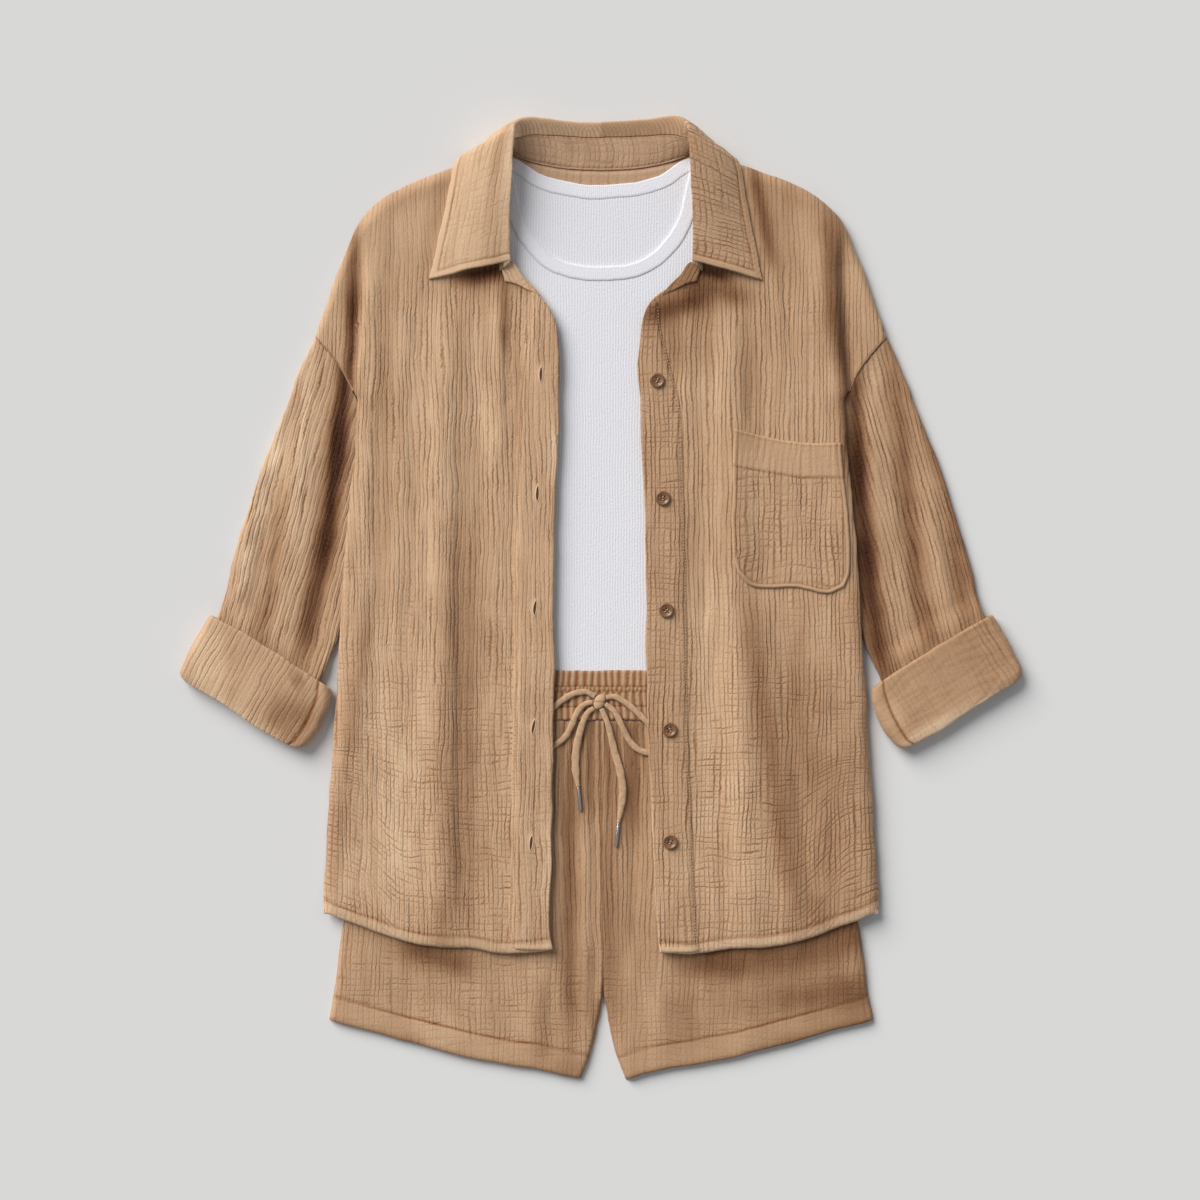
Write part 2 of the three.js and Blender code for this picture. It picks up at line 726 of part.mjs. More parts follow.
function frontOutline(side) {
  const seamUp = curve(lowered(ARMHOLE, -3.5 * SEAM)); // clear of the sleeve, and of the facets between rows
  const sideEdge = curve(SIDE_EDGE);
  const cap = curve(SHOULDER_EDGE.slice(0, 5));
  return {
    bottom: curve([...SHIRT_HEM, OPENING[side][0]]),
    top: curve(SHOULDER_EDGE.slice(4)),
    left: joined(joined(sideEdge, seamUp, CORNER.underarm), cap, CORNER.shoulder),
    right: joined(curve(OPENING[side]), curve([...NECKLINE].reverse()), CORNER.collar),
  };
}
const FRONT_COLUMNS = [0, 0.008, 0.03, 0.07, 0.11, 0.15, 0.21, 0.28, 0.38, 0.49, 0.6, 0.71, 0.83, 1];
const FRONT_ROWS = [
  ...[0, 0.02, 0.06, 0.15, 0.25, 0.34, 0.4, 0.5, 0.6, 0.67, 0.72, 0.74, 0.76, 0.78, 0.8],
  ...[0.83, 0.86, 0.89, 0.92, 0.95, 0.975, 0.992, 1],
];
const slot = ({ x, y, turn }) => {
  const along = BUTTONHOLE.length / 2;
  const across = BUTTONHOLE.width / 2;
  const ends = [[-1, -0.6], [0, -1], [1, -0.6], [1, 0.6], [0, 1], [-1, 0.6]];
  const angle = THREE.MathUtils.degToRad(turn);
  const corners = ends.map(([a, b]) => {
    const p = new THREE.Vector2(a * across, b * along).rotateAround(new THREE.Vector2(), -angle);
    return { x: -x + p.x, y: y + p.y };
  });
  return prism(corners, CUT.low, CUT.high);
};

// The outline that a band is cut to: up past the opening's edge, and down the band's inner edge.
function bandOutline(side) {
  const { beyond, hemY, below, stop, narrow, rows } = BAND_CUT;
  const sign = SIDES[side];
  const edge = mirrored(OPENING[side].slice(0, -2), side);
  const past = edge.map(({ x, y }) => ({ x: x - sign * beyond, y: y < hemY ? y - below : y }));
  const within = edge.reverse().map(({ x, y }, i) => ({
    x: x + sign * mix(narrow, BAND_WIDTH, Math.min(i / rows, 1)),
    y: i === edge.length - 1 ? y - stop : y,
  }));
  return [...past, ...within];
}

const front = {};
const band = {};
for (const side of ["right", "left"]) {
  const height = (x, y) => frontHeight(side, x, y);
  front[side] = laidPanel(side, frontOutline(side), height, FRONT_COLUMNS, FRONT_ROWS);
  band[side] = laidOn(front[side], bandOutline(side), BAND_RAISE);
}
for (const hole of BUTTONHOLES) {
  front.right = front.right.subtract(slot(hole));
  band.right = band.right.subtract(slot(hole));
}
const pocket = laidOn(front.left, POCKET, POCKET_RAISE);

const backHalf = {
  bottom: curve(BACK_HEM),
  top: joined(curve(SHOULDER_EDGE), curve(BACK_NECK), CORNER.neck),
  left: curve(BACK_SIDE),
  right: (v) => ({ x: 0, y: mix(BACK_HEM[4].y, BACK_NECK[4].y, v) }),
};
const backSurface = (u, v) => {
  const half = u < 0.5 ? 2 * u : 2 * (1 - u);
  const { x, y } = patch(backHalf)(half, v);
  return [u < 0.5 ? -x : x, y, backHeight(x, y)];
};
const halfColumns = [0, 0.12, 0.3, 0.45, 0.65, 0.8, 1].map((u) => u / 2);
const backColumns = [...halfColumns, ...halfColumns.slice(0, -1).reverse().map((u) => 1 - u)];
const backRows = [0, 0.3, 0.55, 0.7, 0.78, 0.84, 0.89, 0.93, 0.946, 0.962, 1];
const shirtBack = wall(backSurface, backColumns, backRows, GAUZE);

// A smooth curve through points at equal steps of t.
function through(list, t) {
  const at = clamp(t) * (list.length - 1);
  const i = Math.min(Math.floor(at), list.length - 2);
  const k = at - i;
  const p = [-1, 0, 1, 2].map((d) => list[clamp(i + d, 0, list.length - 1)]);
  return p[1].map(
    (_, c) =>
      0.5 *
      (2 * p[1][c] +
        (p[2][c] - p[0][c]) * k +
        (2 * p[0][c] - 5 * p[1][c] + 4 * p[2][c] - p[3][c]) * k * k +
        (3 * p[1][c] - p[0][c] - 3 * p[2][c] + p[3][c]) * k ** 3),
  );
}

// The sections blended along the neck, as a surface over some of their points. The first point is
// moved on by gap, which opens the seam.
const collarSurface = (first, last, gap) => (u, v) => {
  const side = u < 0.5 ? "right" : "left";
  const t = u < 0.5 ? 2 * u : 2 * (1 - u);
  const section = KEYS.map((key) => through(COLLAR_SECTIONS.map((row) => row[key]), t));
  for (const point of section.slice(3)) point[0] = mix(section[2][0], point[0], FALL_WIDTH[side]);
  const part = section.slice(first, last + 1);
  const length = Math.hypot(...part[1].map((value, c) => value - part[0][c]));
  part[0] = part[0].map((value, c) => mix(value, part[1][c], gap / length));
  if (part.length === 2) part.splice(1, 0, part[0].map((value, c) => mix(value, part[1][c], 0.5)));
  const [x, y, z] = through(part, v);
  return [SIDES[side] * x, y, Math.max(z, 0.1)];
};
const halfCollar = [0, 0.03, 0.07, 0.12, 0.17, 0.22, 0.26, 0.3, 0.335, 0.37, 0.41, 0.455, 0.5];
const collarColumns = [...halfCollar, ...halfCollar.slice(0, -1).reverse().map((u) => 1 - u)];
const stand = wall(collarSurface(0, 1, 0), collarColumns, [0, 1], COLLAR_WALL);
const collarRows = [0, 0.13, 0.22, 0.28, 0.38, 0.55, 0.76, 1];
const collar = wall(collarSurface(1, 5, 4 * SEAM), collarColumns, collarRows, COLLAR_WALL);

// Sleeves and cuffs
const SLEEVE_END = { reach: 30, over: 22 }; // the sleeve narrows to fit the cuff within this reach of it
const SLEEVE_RIDGE = { x: 246, across: 24, lowest: -2.4 }; // folds fade towards the body, and are no deeper
const CUFF_MOUTH = { at: -74, over: 12, drop: 2.5 }; // the rolled end rounds off
const CUFF_FLATS = [0.03, 0.5, 0.97];
const CUFF_ROWS = [0, 0.08, 0.35, 0.9, 1];
const sleeveEnd = (x, y) => smooth((SLEEVE_END.reach - cuffDistance(x, y)) / SLEEVE_END.over);
// How far a place is from the cuff's sleeve end, up the sleeve.
function cuffDistance(x, y) {
  const a = CUFF.sleeveEnd[0];
  const b = CUFF.sleeveEnd[4];
  const dx = b.x - a.x;
  const dy = b.y - a.y;
  return ((x - a.x) * dy - (y - a.y) * dx) / Math.hypot(dx, dy);
}
const sleeve = {};
const cuff = {};
const SLEEVE_FLATS = [0.02, 0.18, 0.34, 0.5, 0.66, 0.82, 0.98];
const SLEEVE_ROWS = [0, 0.19, 0.26, 0.35, 0.47, 0.6, 0.74, 0.88, 1];
const CUFF_FLOOR = CUFF_WALL + LIFT + 0.1;
for (const side of ["right", "left"]) {
  const low = (x, y) => CUFF_FLOOR * sleeveEnd(x, y);
  const high = (x, y) => {
    const fade = smooth((x - SLEEVE_RIDGE.x) / SLEEVE_RIDGE.across);
    const ridge = Math.max(SLEEVE_RIDGE.lowest, foldHeight(SLEEVE_FOLDS[side], x, y) * fade);
    return TOP.sleeve + mix(ridge, CUFF_FLOOR, sleeveEnd(x, y));
  };
  const outline = {
    bottom: curve([SLEEVE_OUTER[0], SLEEVE_INNER[0]]),
    top: curve(lowered(SLEEVE_SEAM, 2 * SEAM)),
    left: curve(lowered(SLEEVE_OUTER, 2 * SEAM)),
    right: curve(lowered(SLEEVE_INNER, 2 * SEAM)),
  };
  sleeve[side] = laidTube(side, outline, low, high, SLEEVE_FLATS, SLEEVE_ROWS, GAUZE);
  const cuffOutline = {
    bottom: curve(CUFF.mouth),
    top: curve(CUFF.sleeveEnd),
    left: curve(CUFF.outer),
    right: curve(CUFF.inner),
  };
  const cuffTop = (x, y) => {
    const inside = smooth((cuffDistance(x, y) - CUFF_MOUTH.at) / CUFF_MOUTH.over);
    return TOP.cuff - CUFF_MOUTH.drop * (1 - inside);
  };
  cuff[side] = laidTube(side, cuffOutline, () => 0, cuffTop, CUFF_FLATS, CUFF_ROWS, CUFF_WALL);
}

// Buttons: a dished disc with four holes.
const lathe = (profile, segments) =>
  new THREE.LatheGeometry(profile.map(([radius, at]) => new THREE.Vector2(radius, at)), segments);
function button(x, y, turn, seat) {
  const { radius: r, height: h, dish } = BUTTON;
  const floor = h - dish;
  const profile = [[0, 0], [r - 0.8, 0], [r, 1], [r - 0.5, h], [r - 1.9, h], [r - 2.9, floor], [0, floor]];
  let solid = manifoldOf(lathe(profile, 12).rotateX(Math.PI / 2));
  for (const quarter of [0, 1, 2, 3]) {
    const angle = THREE.MathUtils.degToRad(turn + 90 * quarter);
    const { holeRadius } = BUTTON;
    const hole = new THREE.CylinderGeometry(holeRadius, holeRadius, 4 * h, 5).rotateX(Math.PI / 2);
    hole.translate(BUTTON.holeSpread * Math.cos(angle), BUTTON.holeSpread * Math.sin(angle), 0);
    solid = solid.subtract(manifoldOf(hole));
  }
  return solid.translate([x, y, seat]);
}
// The highest point of the button band under a button, with room for the facets.
function bandTop(x, y) {
  const r = BUTTON.radius;
  const around = [[0, 0], [r, 0], [-r, 0], [0, r], [0, -r]];
  return Math.max(...around.map(([a, b]) => frontHeight("left", x + a, y + b))) + BAND_RAISE;
}

// ---------------------------------------------------------------- tank top
const dense = (rows, n = 12) => spaced(n).map((t) => curve(rows)(t));
// A half outline that ends in the middle, and the same turned over.
const bothSides = (rows) => [...mirrored(rows, "right"), ...[...rows].reverse().slice(1)];
function tankFace(neck, top) {
  const outline = [...dense(TANK_SIDE), ...dense(neck)];
  return prism(bothSides(outline), top - JERSEY, top);
}
// The binding runs along the neck edge, on its inner side.
function neckBinding(neck, low, high) {
  const rows = dense(neck, 14);
  const inward = rows.map((p, i) => {
    const a = rows[Math.max(i - 1, 0)];
    const b = rows[Math.min(i + 1, rows.length - 1)];
    const long = Math.hypot(b.x - a.x, b.y - a.y);
    const n = { x: (b.y - a.y) / long, y: -(b.x - a.x) / long };
    const moved = (by) => ({ x: p.x + n.x * by, y: p.y + n.y * by });
    return { near: moved(2 * SEAM), far: moved(BINDING) };
  });
  inward[inward.length - 1].near.x = inward[inward.length - 1].far.x = 0;
  const line = (key) => bothSides(inward.map((row) => row[key]));
  return prism([...line("near"), ...line("far").reverse()], low, high);
}

// ---------------------------------------------------------------- shorts
const SHORTS_COLUMNS = [0, 0.014, 0.05, 0.2, 0.45, 0.62, 0.72, 0.79, 0.84, 0.88, 0.92, 0.97, 1];
const SHORTS_ROWS = [0, 0.03, 0.12, 0.22, 0.34, 0.5, 0.68, 0.86, 1];
const SHORTS_BACK_COLUMNS = [0, 0.25, 0.5, 0.75, 1];
const SHORTS_BACK_ROWS = [0, 0.13, 0.25, 0.29, 0.335, 0.6, 1];
const CROTCH_Y = -400; // the crotch seam opens by SEAM above this
function shortsOutline(side) {
  const inner = SHORTS_INNER[side].map((row) => ({ ...row, x: row.x + (row.y > CROTCH_Y ? SEAM : 0) }));
  const end = { x: inner[0].x, y: inner[0].y };
  return {
    bottom: curve([...SHORTS_HEM.slice(0, -1), end]),
    top: (t) => ({ x: mix(SHORTS_SIDE[7].x, inner[6].x, t), y: SHORTS_SIDE[7].y }),
    left: curve(SHORTS_SIDE),
    right: curve(inner),
  };
}
const shortsFront = {};
const shortsBack = {};
for (const side of ["right", "left"]) {
  const outline = shortsOutline(side);
  const height = (x, y) => shortsFrontHeight(side, x, y);
  shortsFront[side] = laidPanel(side, outline, height, SHORTS_COLUMNS, SHORTS_ROWS);
  shortsBack[side] = laidPanel(side, outline, shortsBackHeight, SHORTS_BACK_COLUMNS, SHORTS_BACK_ROWS);
}

// Waistband: a flat ring with gathers over its front. Its section runs over the top, round one end,
// back underneath and round the other end.
function waistbandRing() {
  const { top, bottom, halfWidth, inset, low } = WAIST;
  const { pleat, ripple } = GATHERS;
  const pleats = Math.round((2 * halfWidth - 20) / pleat / 2) * 2;
  const underCells = 8;
  const capAngles = [45, 0, -45];
  const round = (TOP.waistband - low) / 2;
  const flat = (share, height) => ({ x: mix(-1, 1, share) * (halfWidth - inset), z: height });
  const cap = (sign, degrees) => {
    const angle = THREE.MathUtils.degToRad(degrees);
    const end = flat(sign > 0 ? 1 : 0, low + round);
    return { x: end.x + sign * round * Math.cos(angle), z: end.z + round * Math.sin(angle) };
  };
  const gathered = (i) => TOP.waistband + (i % 2 ? ripple : -ripple) / 2;
  const nodes = [
    ...spaced(pleats).map((share, i) => flat(share, gathered(i))),
    ...capAngles.map((degrees) => cap(1, degrees)),
    ...spaced(underCells).map((share) => flat(1 - share, low)),
    ...capAngles.map((degrees) => cap(-1, -degrees)),
  ];
  const surface = (u, v) => {
    const at = (((u % 1) + 1) % 1) * nodes.length;
    const i = Math.floor(at + 1e-9) % nodes.length;
    const t = Math.max(0, at - Math.floor(at + 1e-9));
    const a = nodes[i];
    const b = nodes[(i + 1) % nodes.length];
    return [mix(a.x, b.x, t), mix(bottom, top, v), mix(a.z, b.z, t)];
  };
  surface.closed = true;
  return wall(surface, nodes.map((_, i) => i / nodes.length), [0, 1], ELASTIC_WALL);
}

// ---------------------------------------------------------------- drawstring
// How high the shorts' front or the waistband is at a place, for what lies on them.
function shortsTop(x, y) {
  if (y > WAIST.bottom - 1) return TOP.waistband + GATHERS.ripple / 2;
  return shortsFrontHeight(x < 0 ? "right" : "left", Math.abs(x), y);
}
const cordHeight = (x, y) => {
  const near = [-12, -6, 0, 6, 12].map((d) => shortsTop(x, y + d));
  return Math.max(...near) + CORD.thick / 2 + CORD.clear;
};
// A point just clear of the knot's oval outline, at an angle from its middle.
function besideKnot(degrees) {
  const along = THREE.MathUtils.degToRad(degrees - KNOT.turn);
  const reach = 1 / Math.hypot(Math.cos(along) / KNOT.long, Math.sin(along) / KNOT.across) + KNOT.clear;
  const angle = THREE.MathUtils.degToRad(degrees);
  return { x: KNOT.x + reach * Math.cos(angle), y: KNOT.y + reach * Math.sin(angle) };
}
function cordRun({ leaves, returns, route }) {
  const rows = [besideKnot(leaves), ...route];
  if (returns) rows.push(besideKnot(returns));
  const points = rows.map(({ x, y }) => new THREE.Vector3(x, y, cordHeight(x, y)));
  const path = new THREE.CatmullRomCurve3(points, false, "centripetal");
  const section = new THREE.Shape(
    spaced(CORD.sides).slice(1).map((t) => {
      const angle = 2 * Math.PI * t;
      return new THREE.Vector2((CORD.thick / 2) * Math.cos(angle), (CORD.width / 2) * Math.sin(angle));
    }),
  );
  const steps = Math.max(6, Math.round(path.getLength() / (CORD.widthsPerStep * CORD.width)));
  return manifoldOf(new THREE.ExtrudeGeometry(section, { steps, extrudePath: path, bevelEnabled: false }));
}
function knot() {
  const ball = new THREE.SphereGeometry(1, 14, 9).scale(KNOT.long, KNOT.across, KNOT.high / 2);
  ball.rotateZ(THREE.MathUtils.degToRad(KNOT.turn));
  return manifoldOf(ball).translate([KNOT.x, KNOT.y, TOP.waistband + GATHERS.ripple / 2 + KNOT.high / 2]);
}
function aglet({ run, to }) {
  const rows = CORD_RUNS[run].route;
  const from = rows[rows.length - 1];
  const { radius: r, crimp, clear } = AGLET;
  const resting = ({ x, y }) => new THREE.Vector3(x, y, cordHeight(x, y) - CORD.thick / 2 + r);
  const [a, b] = [from, to].map(resting);
  const length = a.distanceTo(b) - clear;
  const profile = [[0, 0], [r - crimp, 0], [r, 1], [r, length - 1], [r - crimp, length], [0, length]];
  const tube = lathe(profile, 10).translate(0, clear, 0);
  const up = new THREE.Vector3(0, 1, 0);
  tube.applyQuaternion(new THREE.Quaternion().setFromUnitVectors(up, b.clone().sub(a).normalize()));
  return manifoldOf(tube.translate(a.x, a.y, a.z));
}

// ---------------------------------------------------------------- the set
const material = (color, roughness, metalness = 0) =>
  new THREE.MeshStandardMaterial({ color, roughness, metalness });
const FINISH = {
  gauze: material(0xb8926c, 0.95),
  jersey: material(0xe4e4ea, 0.9),
  horn: material(0x80583a, 0.45),
  cord: material(0xb08a64, 0.95),
  metal: material(0xc8c8c8, 0.25, 1),
};
const group = new THREE.Group();
function add(name, solid, finish) {
  const mesh = new THREE.Mesh(geometryOf(solid), FINISH[finish]);
  mesh.name = name;
  group.add(mesh);
}

add("shirt_back", shirtBack, "gauze");
for (const side of ["right", "left"]) {
  add("shirt_front_" + side, front[side], "gauze");
  add("sleeve_" + side, sleeve[side], "gauze");
  add("cuff_" + side, cuff[side], "gauze");
  add("shorts_front_" + side, shortsFront[side], "gauze");
  add("shorts_back_" + side, shortsBack[side], "gauze");
}
add("buttonhole_band", band.right, "gauze");
add("button_band", band.left, "gauze");
add("chest_pocket", pocket, "gauze");
add("collar_stand", stand, "gauze");
add("collar", collar, "gauze");
BUTTONS.forEach(({ x, y, turn }, i) => {
  add("button_" + (i + 1), button(x, y, turn, bandTop(x, y) + LIFT), "horn");
});
for (const [face, top] of Object.entries({ back: TOP.tankBack, front: TOP.tankFront })) {
  const binding = neckBinding(TANK_NECK[face], top - JERSEY, top + BINDING_RAISE[face]);
  add("tank_" + face, tankFace(TANK_NECK[face], top), "jersey");
  add("tank_" + face + "_binding", binding, "jersey");
}

add("waistband", waistbandRing(), "gauze");
for (const [name, run] of Object.entries(CORD_RUNS)) add(name, cordRun(run), "cord");
for (const [name, ends] of Object.entries(AGLETS)) add(name, aglet(ends), "metal");
add("drawstring_knot", knot(), "cord");

export default group;
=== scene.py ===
"""The look of the shorts set: an open crinkle-gauze shirt, a ribbed tank top and drawstring shorts, laid
flat.

Lengths are in millimetres until a mesh is made. The tables repeat the part's own, for the side with +X;
the wearer's right is the same table with X turned over. Every cloth piece is a grid of points with a
crease pattern pressed into its face and a wall behind it, so that it is closed and has its real thickness.
"""
import math

import bpy
import numpy as np
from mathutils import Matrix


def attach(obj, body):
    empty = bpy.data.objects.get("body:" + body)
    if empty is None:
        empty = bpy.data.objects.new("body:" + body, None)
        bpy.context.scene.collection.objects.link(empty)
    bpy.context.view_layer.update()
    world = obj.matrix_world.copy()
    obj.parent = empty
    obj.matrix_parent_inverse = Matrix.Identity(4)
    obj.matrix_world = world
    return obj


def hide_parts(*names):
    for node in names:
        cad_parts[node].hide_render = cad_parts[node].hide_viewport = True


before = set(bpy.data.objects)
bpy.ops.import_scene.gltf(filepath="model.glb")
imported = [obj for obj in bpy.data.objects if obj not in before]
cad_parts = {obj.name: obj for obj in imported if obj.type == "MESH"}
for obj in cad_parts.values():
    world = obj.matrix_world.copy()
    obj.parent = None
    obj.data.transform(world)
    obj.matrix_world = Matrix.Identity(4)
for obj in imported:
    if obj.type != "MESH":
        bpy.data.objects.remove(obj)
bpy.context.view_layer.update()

MM = 0.001  # metres
GAUZE, JERSEY, COLLAR_WALL, CUFF_WALL, ELASTIC_WALL = 1.6, 1.2, 1.8, 3.2, 2.0
SEAM, LIFT = 0.4, 0.3  # half the gap at a seam, and the gap under what lies on another piece
SIDES = {"right": -1, "left": 1}
# how high each piece's face lies over the floor
TOP = dict(shirt_back=1.6, over_collar=3.9, shorts_back=3.5, tank_back=5.4, tank_front=6.9, waistband=10.0,
           shorts_front=9.0, shorts_hem=6.6, shirt_front=15.6, front_neck=14.4, drop_shoulder=9.8, sleeve=7.0,
           cuff=16.0)
BAND_WIDTH = 41.0
BAND_RAISE, POCKET_RAISE = 2.2, 2.3  # the faces of the bands and the pocket over the front's
RIDGE = 0.5  # how far the ridges stand over the part's plain face
STRIDE = 4  # the inner side of a wall has every fourth point of its face
SEED = 11  # each piece adds a number of its own

# ---------------------------------------------------------------- camera, floor and light
scene = bpy.context.scene
scene.view_settings.view_transform = "Standard"

camera = bpy.data.objects.new("camera", bpy.data.cameras.new("camera"))
camera.data.lens = 90
camera.data.sensor_width = 36
camera.data.clip_end = 20
camera.location = (-0.001, -0.001, 3.01)
scene.collection.objects.link(camera)
scene.camera = camera

sun = bpy.data.lights.new("key", "SUN")
sun.energy = 3.7
sun.angle = math.radians(42)
sun.color = (1, 0.985, 0.965)
lamp = bpy.data.objects.new("key", sun)
lamp.rotation_euler = (math.radians(-56), 0, math.radians(42))
scene.collection.objects.link(lamp)
world = bpy.data.worlds.new("studio")
world.use_nodes = True
world.node_tree.nodes["Background"].inputs["Color"].default_value = (0.95, 0.975, 1, 1)
world.node_tree.nodes["Background"].inputs["Strength"].default_value = 0.3
scene.world = world


# ---------------------------------------------------------------- curves and noise
def clip01(t):
    return np.clip(t, 0, 1)


def smooth(t):
    return clip01(t) ** 2 * (3 - 2 * clip01(t))


def mix(a, b, t):
    return a + (b - a) * t


def run_of(line):
    """How far along a line each of its points is."""
    return np.concatenate([[0], np.cumsum(np.linalg.norm(np.diff(line, axis=0), axis=1))])


def hermite(rows, at, slope, s):
    """The smooth curve through rows that stand at the places in at, with their slopes, read at s."""
    i = np.clip(np.searchsorted(at, s, side="right") - 1, 0, len(rows) - 2)
    h = (at[i + 1] - at[i])[..., None]
    k = (s - at[i])[..., None] / h
    return ((1 + 2 * k) * (1 - k) ** 2 * rows[i] + k * (1 - k) ** 2 * h * slope[i]
            + k * k * (3 - 2 * k) * rows[i + 1] + k * k * (k - 1) * h * slope[i + 1])


def curve(rows):
    """A smooth curve through rows of x, y and any other columns, over 0 to 1 by chord length."""
    rows = np.asarray(rows, float)
    at = run_of(rows[:, :2])
    order = np.arange(len(rows))
    before, after = np.maximum(order - 1, 0), np.minimum(order + 1, len(rows) - 1)
    slope = (rows[after] - rows[before]) / (at[after] - at[before])[:, None]
    return lambda t: hermite(rows, at, slope, clip01(np.asarray(t, float)) * at[-1])


def drawn(rows, count, start=0.0, stop=1.0):
    """Points along the smooth curve through rows."""
    return curve(rows)(np.linspace(start, stop, count))


def joined(first, second, split):
    """Two curves as one: the first up to the split, and the second from it."""
    def point(t):
        t = np.asarray(t, float)
        return np.where((t < split)[..., None], first(t / split), second((t - split) / (1 - split)))
    return point


def flat(rows):
    """The x and y of a table."""
    return [row[:2] for row in rows]


def moved(rows, dx, dy):
    """The x and y of a table, moved."""
    return [(x + dx, y + dy) for x, y in flat(rows)]


def xy(points):
    return points[..., 0], points[..., 1]


def patch(bottom, top, left, right):
    """The patch between four curves that meet at its corners: u runs left to right, v bottom to top."""
    corner = bottom(0), bottom(1), top(0), top(1)

    def place(u, v):
        u, v = np.broadcast_arrays(np.asarray(u, float), np.asarray(v, float))
        across, up = u[..., None], v[..., None]
        return ((1 - up) * bottom(u) + up * top(u) + (1 - across) * left(v) + across * right(v)
                - (1 - up) * ((1 - across) * corner[0] + across * corner[1])
                - up * ((1 - across) * corner[2] + across * corner[3]))

    return place


def noise(x, y, seed):
    """Smooth noise of about -1 to 1, with cells one unit wide."""
    turn = np.random.default_rng(seed).random((128, 128)) * 2 * np.pi
    i, j = np.floor(x).astype(int), np.floor(y).astype(int)
    fx, fy = x - i, y - j

    def corner(a, b):
        angle = turn[(i + a) % 128, (j + b) % 128]
        return np.cos(angle) * (fx - a) + np.sin(angle) * (fy - b)

    ex, ey = (f ** 3 * (f * (6 * f - 15) + 10) for f in (fx, fy))
    return 1.5 * mix(mix(corner(0, 0), corner(1, 0), ex), mix(corner(0, 1), corner(1, 1), ex), ey)


def wander(points):
    """Points moved a little in the plane, the same way for every piece, so that no edge is quite straight."""
    x, y = xy(points)
    out = np.array(points, float)
    for axis in (0, 1):
        out[..., axis] += 0.9 * noise(x / 31, y / 31, 901 + axis) + 0.35 * noise(x / 9, y / 9, 903 + axis)
    return out


def wave(phase):
    """A wave between 0 and 1 that goes up from its middle, once for each whole turn of the phase."""
    return 0.5 + 0.5 * np.sin(phase)


def bump_at(value, middle, width):
    return np.exp(-((value - middle) / width) ** 2)


def along_line(x, y, line):
    """How far points are from a line of points, and how far along it their nearest places are."""
    block = 20000  # points taken at a time, to save memory
    line = np.asarray(line, float)[:, :2]
    line = line[np.concatenate([[True], np.hypot(*np.diff(line, axis=0).T) > 1e-6])]
    a, d = line[:-1], np.diff(line, axis=0)
    start = run_of(line)
    away, along = np.empty(x.size), np.empty(x.size)
    flat_x, flat_y = x.ravel(), y.ravel()
    for k in range(0, x.size, block):
        part = slice(k, k + block)
        px, py = flat_x[part, None] - a[:, 0], flat_y[part, None] - a[:, 1]
        t = clip01((px * d[:, 0] + py * d[:, 1]) / (d ** 2).sum(1))
        far = np.hypot(px - t * d[:, 0], py - t * d[:, 1])
        best = far.argmin(1)
        rows = np.arange(len(best))
        away[part] = far[rows, best]
        along[part] = start[best] + t[rows, best] * np.diff(start)[best]
    return away.reshape(x.shape), along.reshape(x.shape)


# ---------------------------------------------------------------- tables
# x, y of the edge, z of the cloth's edge there, and r, how far in it starts to round down.
SIDE_EDGE = [(276.5, -313, 3.4, 12), (278.5, -301, 2.4, 14), (276.5, -257, 2.4, 14), (272, -183, 2.4, 14),
             (265.5, -90, 4, 13), (261.5, -40, 11, 9), (257, 40, 11.4, 8), (247, 150, 11.4, 8),
             (244, 199, 11.2, 8)]
ARMHOLE = [(244, 199), (250, 212), (263.5, 237.5), (286.5, 263)]
SHOULDER_EDGE = [(286.5, 263, 2.6, 7), (268, 316, 2.4, 8), (255, 349, 2.4, 9), (243.5, 374.5, 2.6, 11),
                 (233.5, 388, 3.4, 13), (220, 400, 4.8, 14), (204, 410, 4.8, 14), (181, 421, 4.8, 14),
                 (139, 435.7, 4.8, 14), (93, 451.5, 4.8, 12)]
NECKLINE = [(93, 451.5), (97, 438), (102.5, 405), (104.5, 365), (103, 340), (96, 322)]
SHIRT_HEM = [(276.5, -313), (254, -322.5), (225, -333), (195, -343), (165, -348), (135, -349), (95, -354.5)]
OPENING = {
    "right": [(48, -350), (51.5, -324), (50, -280), (48.7, -180), (46.7, -57), (47.3, 39), (44.4, 128),
              (41.6, 200), (42.5, 262), (46.4, 280), (54, 295), (63.6, 304.6), (82.7, 315), (96, 322)],
    "left": [(59, -352.6), (56.6, -339), (52.3, -253), (48.3, -166), (45.5, -57), (44.6, 39), (42, 120),
             (38.8, 195), (36.9, 232), (39, 256), (42, 280), (48, 296), (64, 309), (96, 322)],
}
# y, x and depth of the fold where the body turns down to the dropped shoulder
ARM_CREASE = np.array([(165, 250, 0), (203, 245, 1), (240, 239.5, 1), (290, 235.5, 1), (333, 233.5, 0.8),
                       (374, 236, 0.15), (390, 238, 0)])
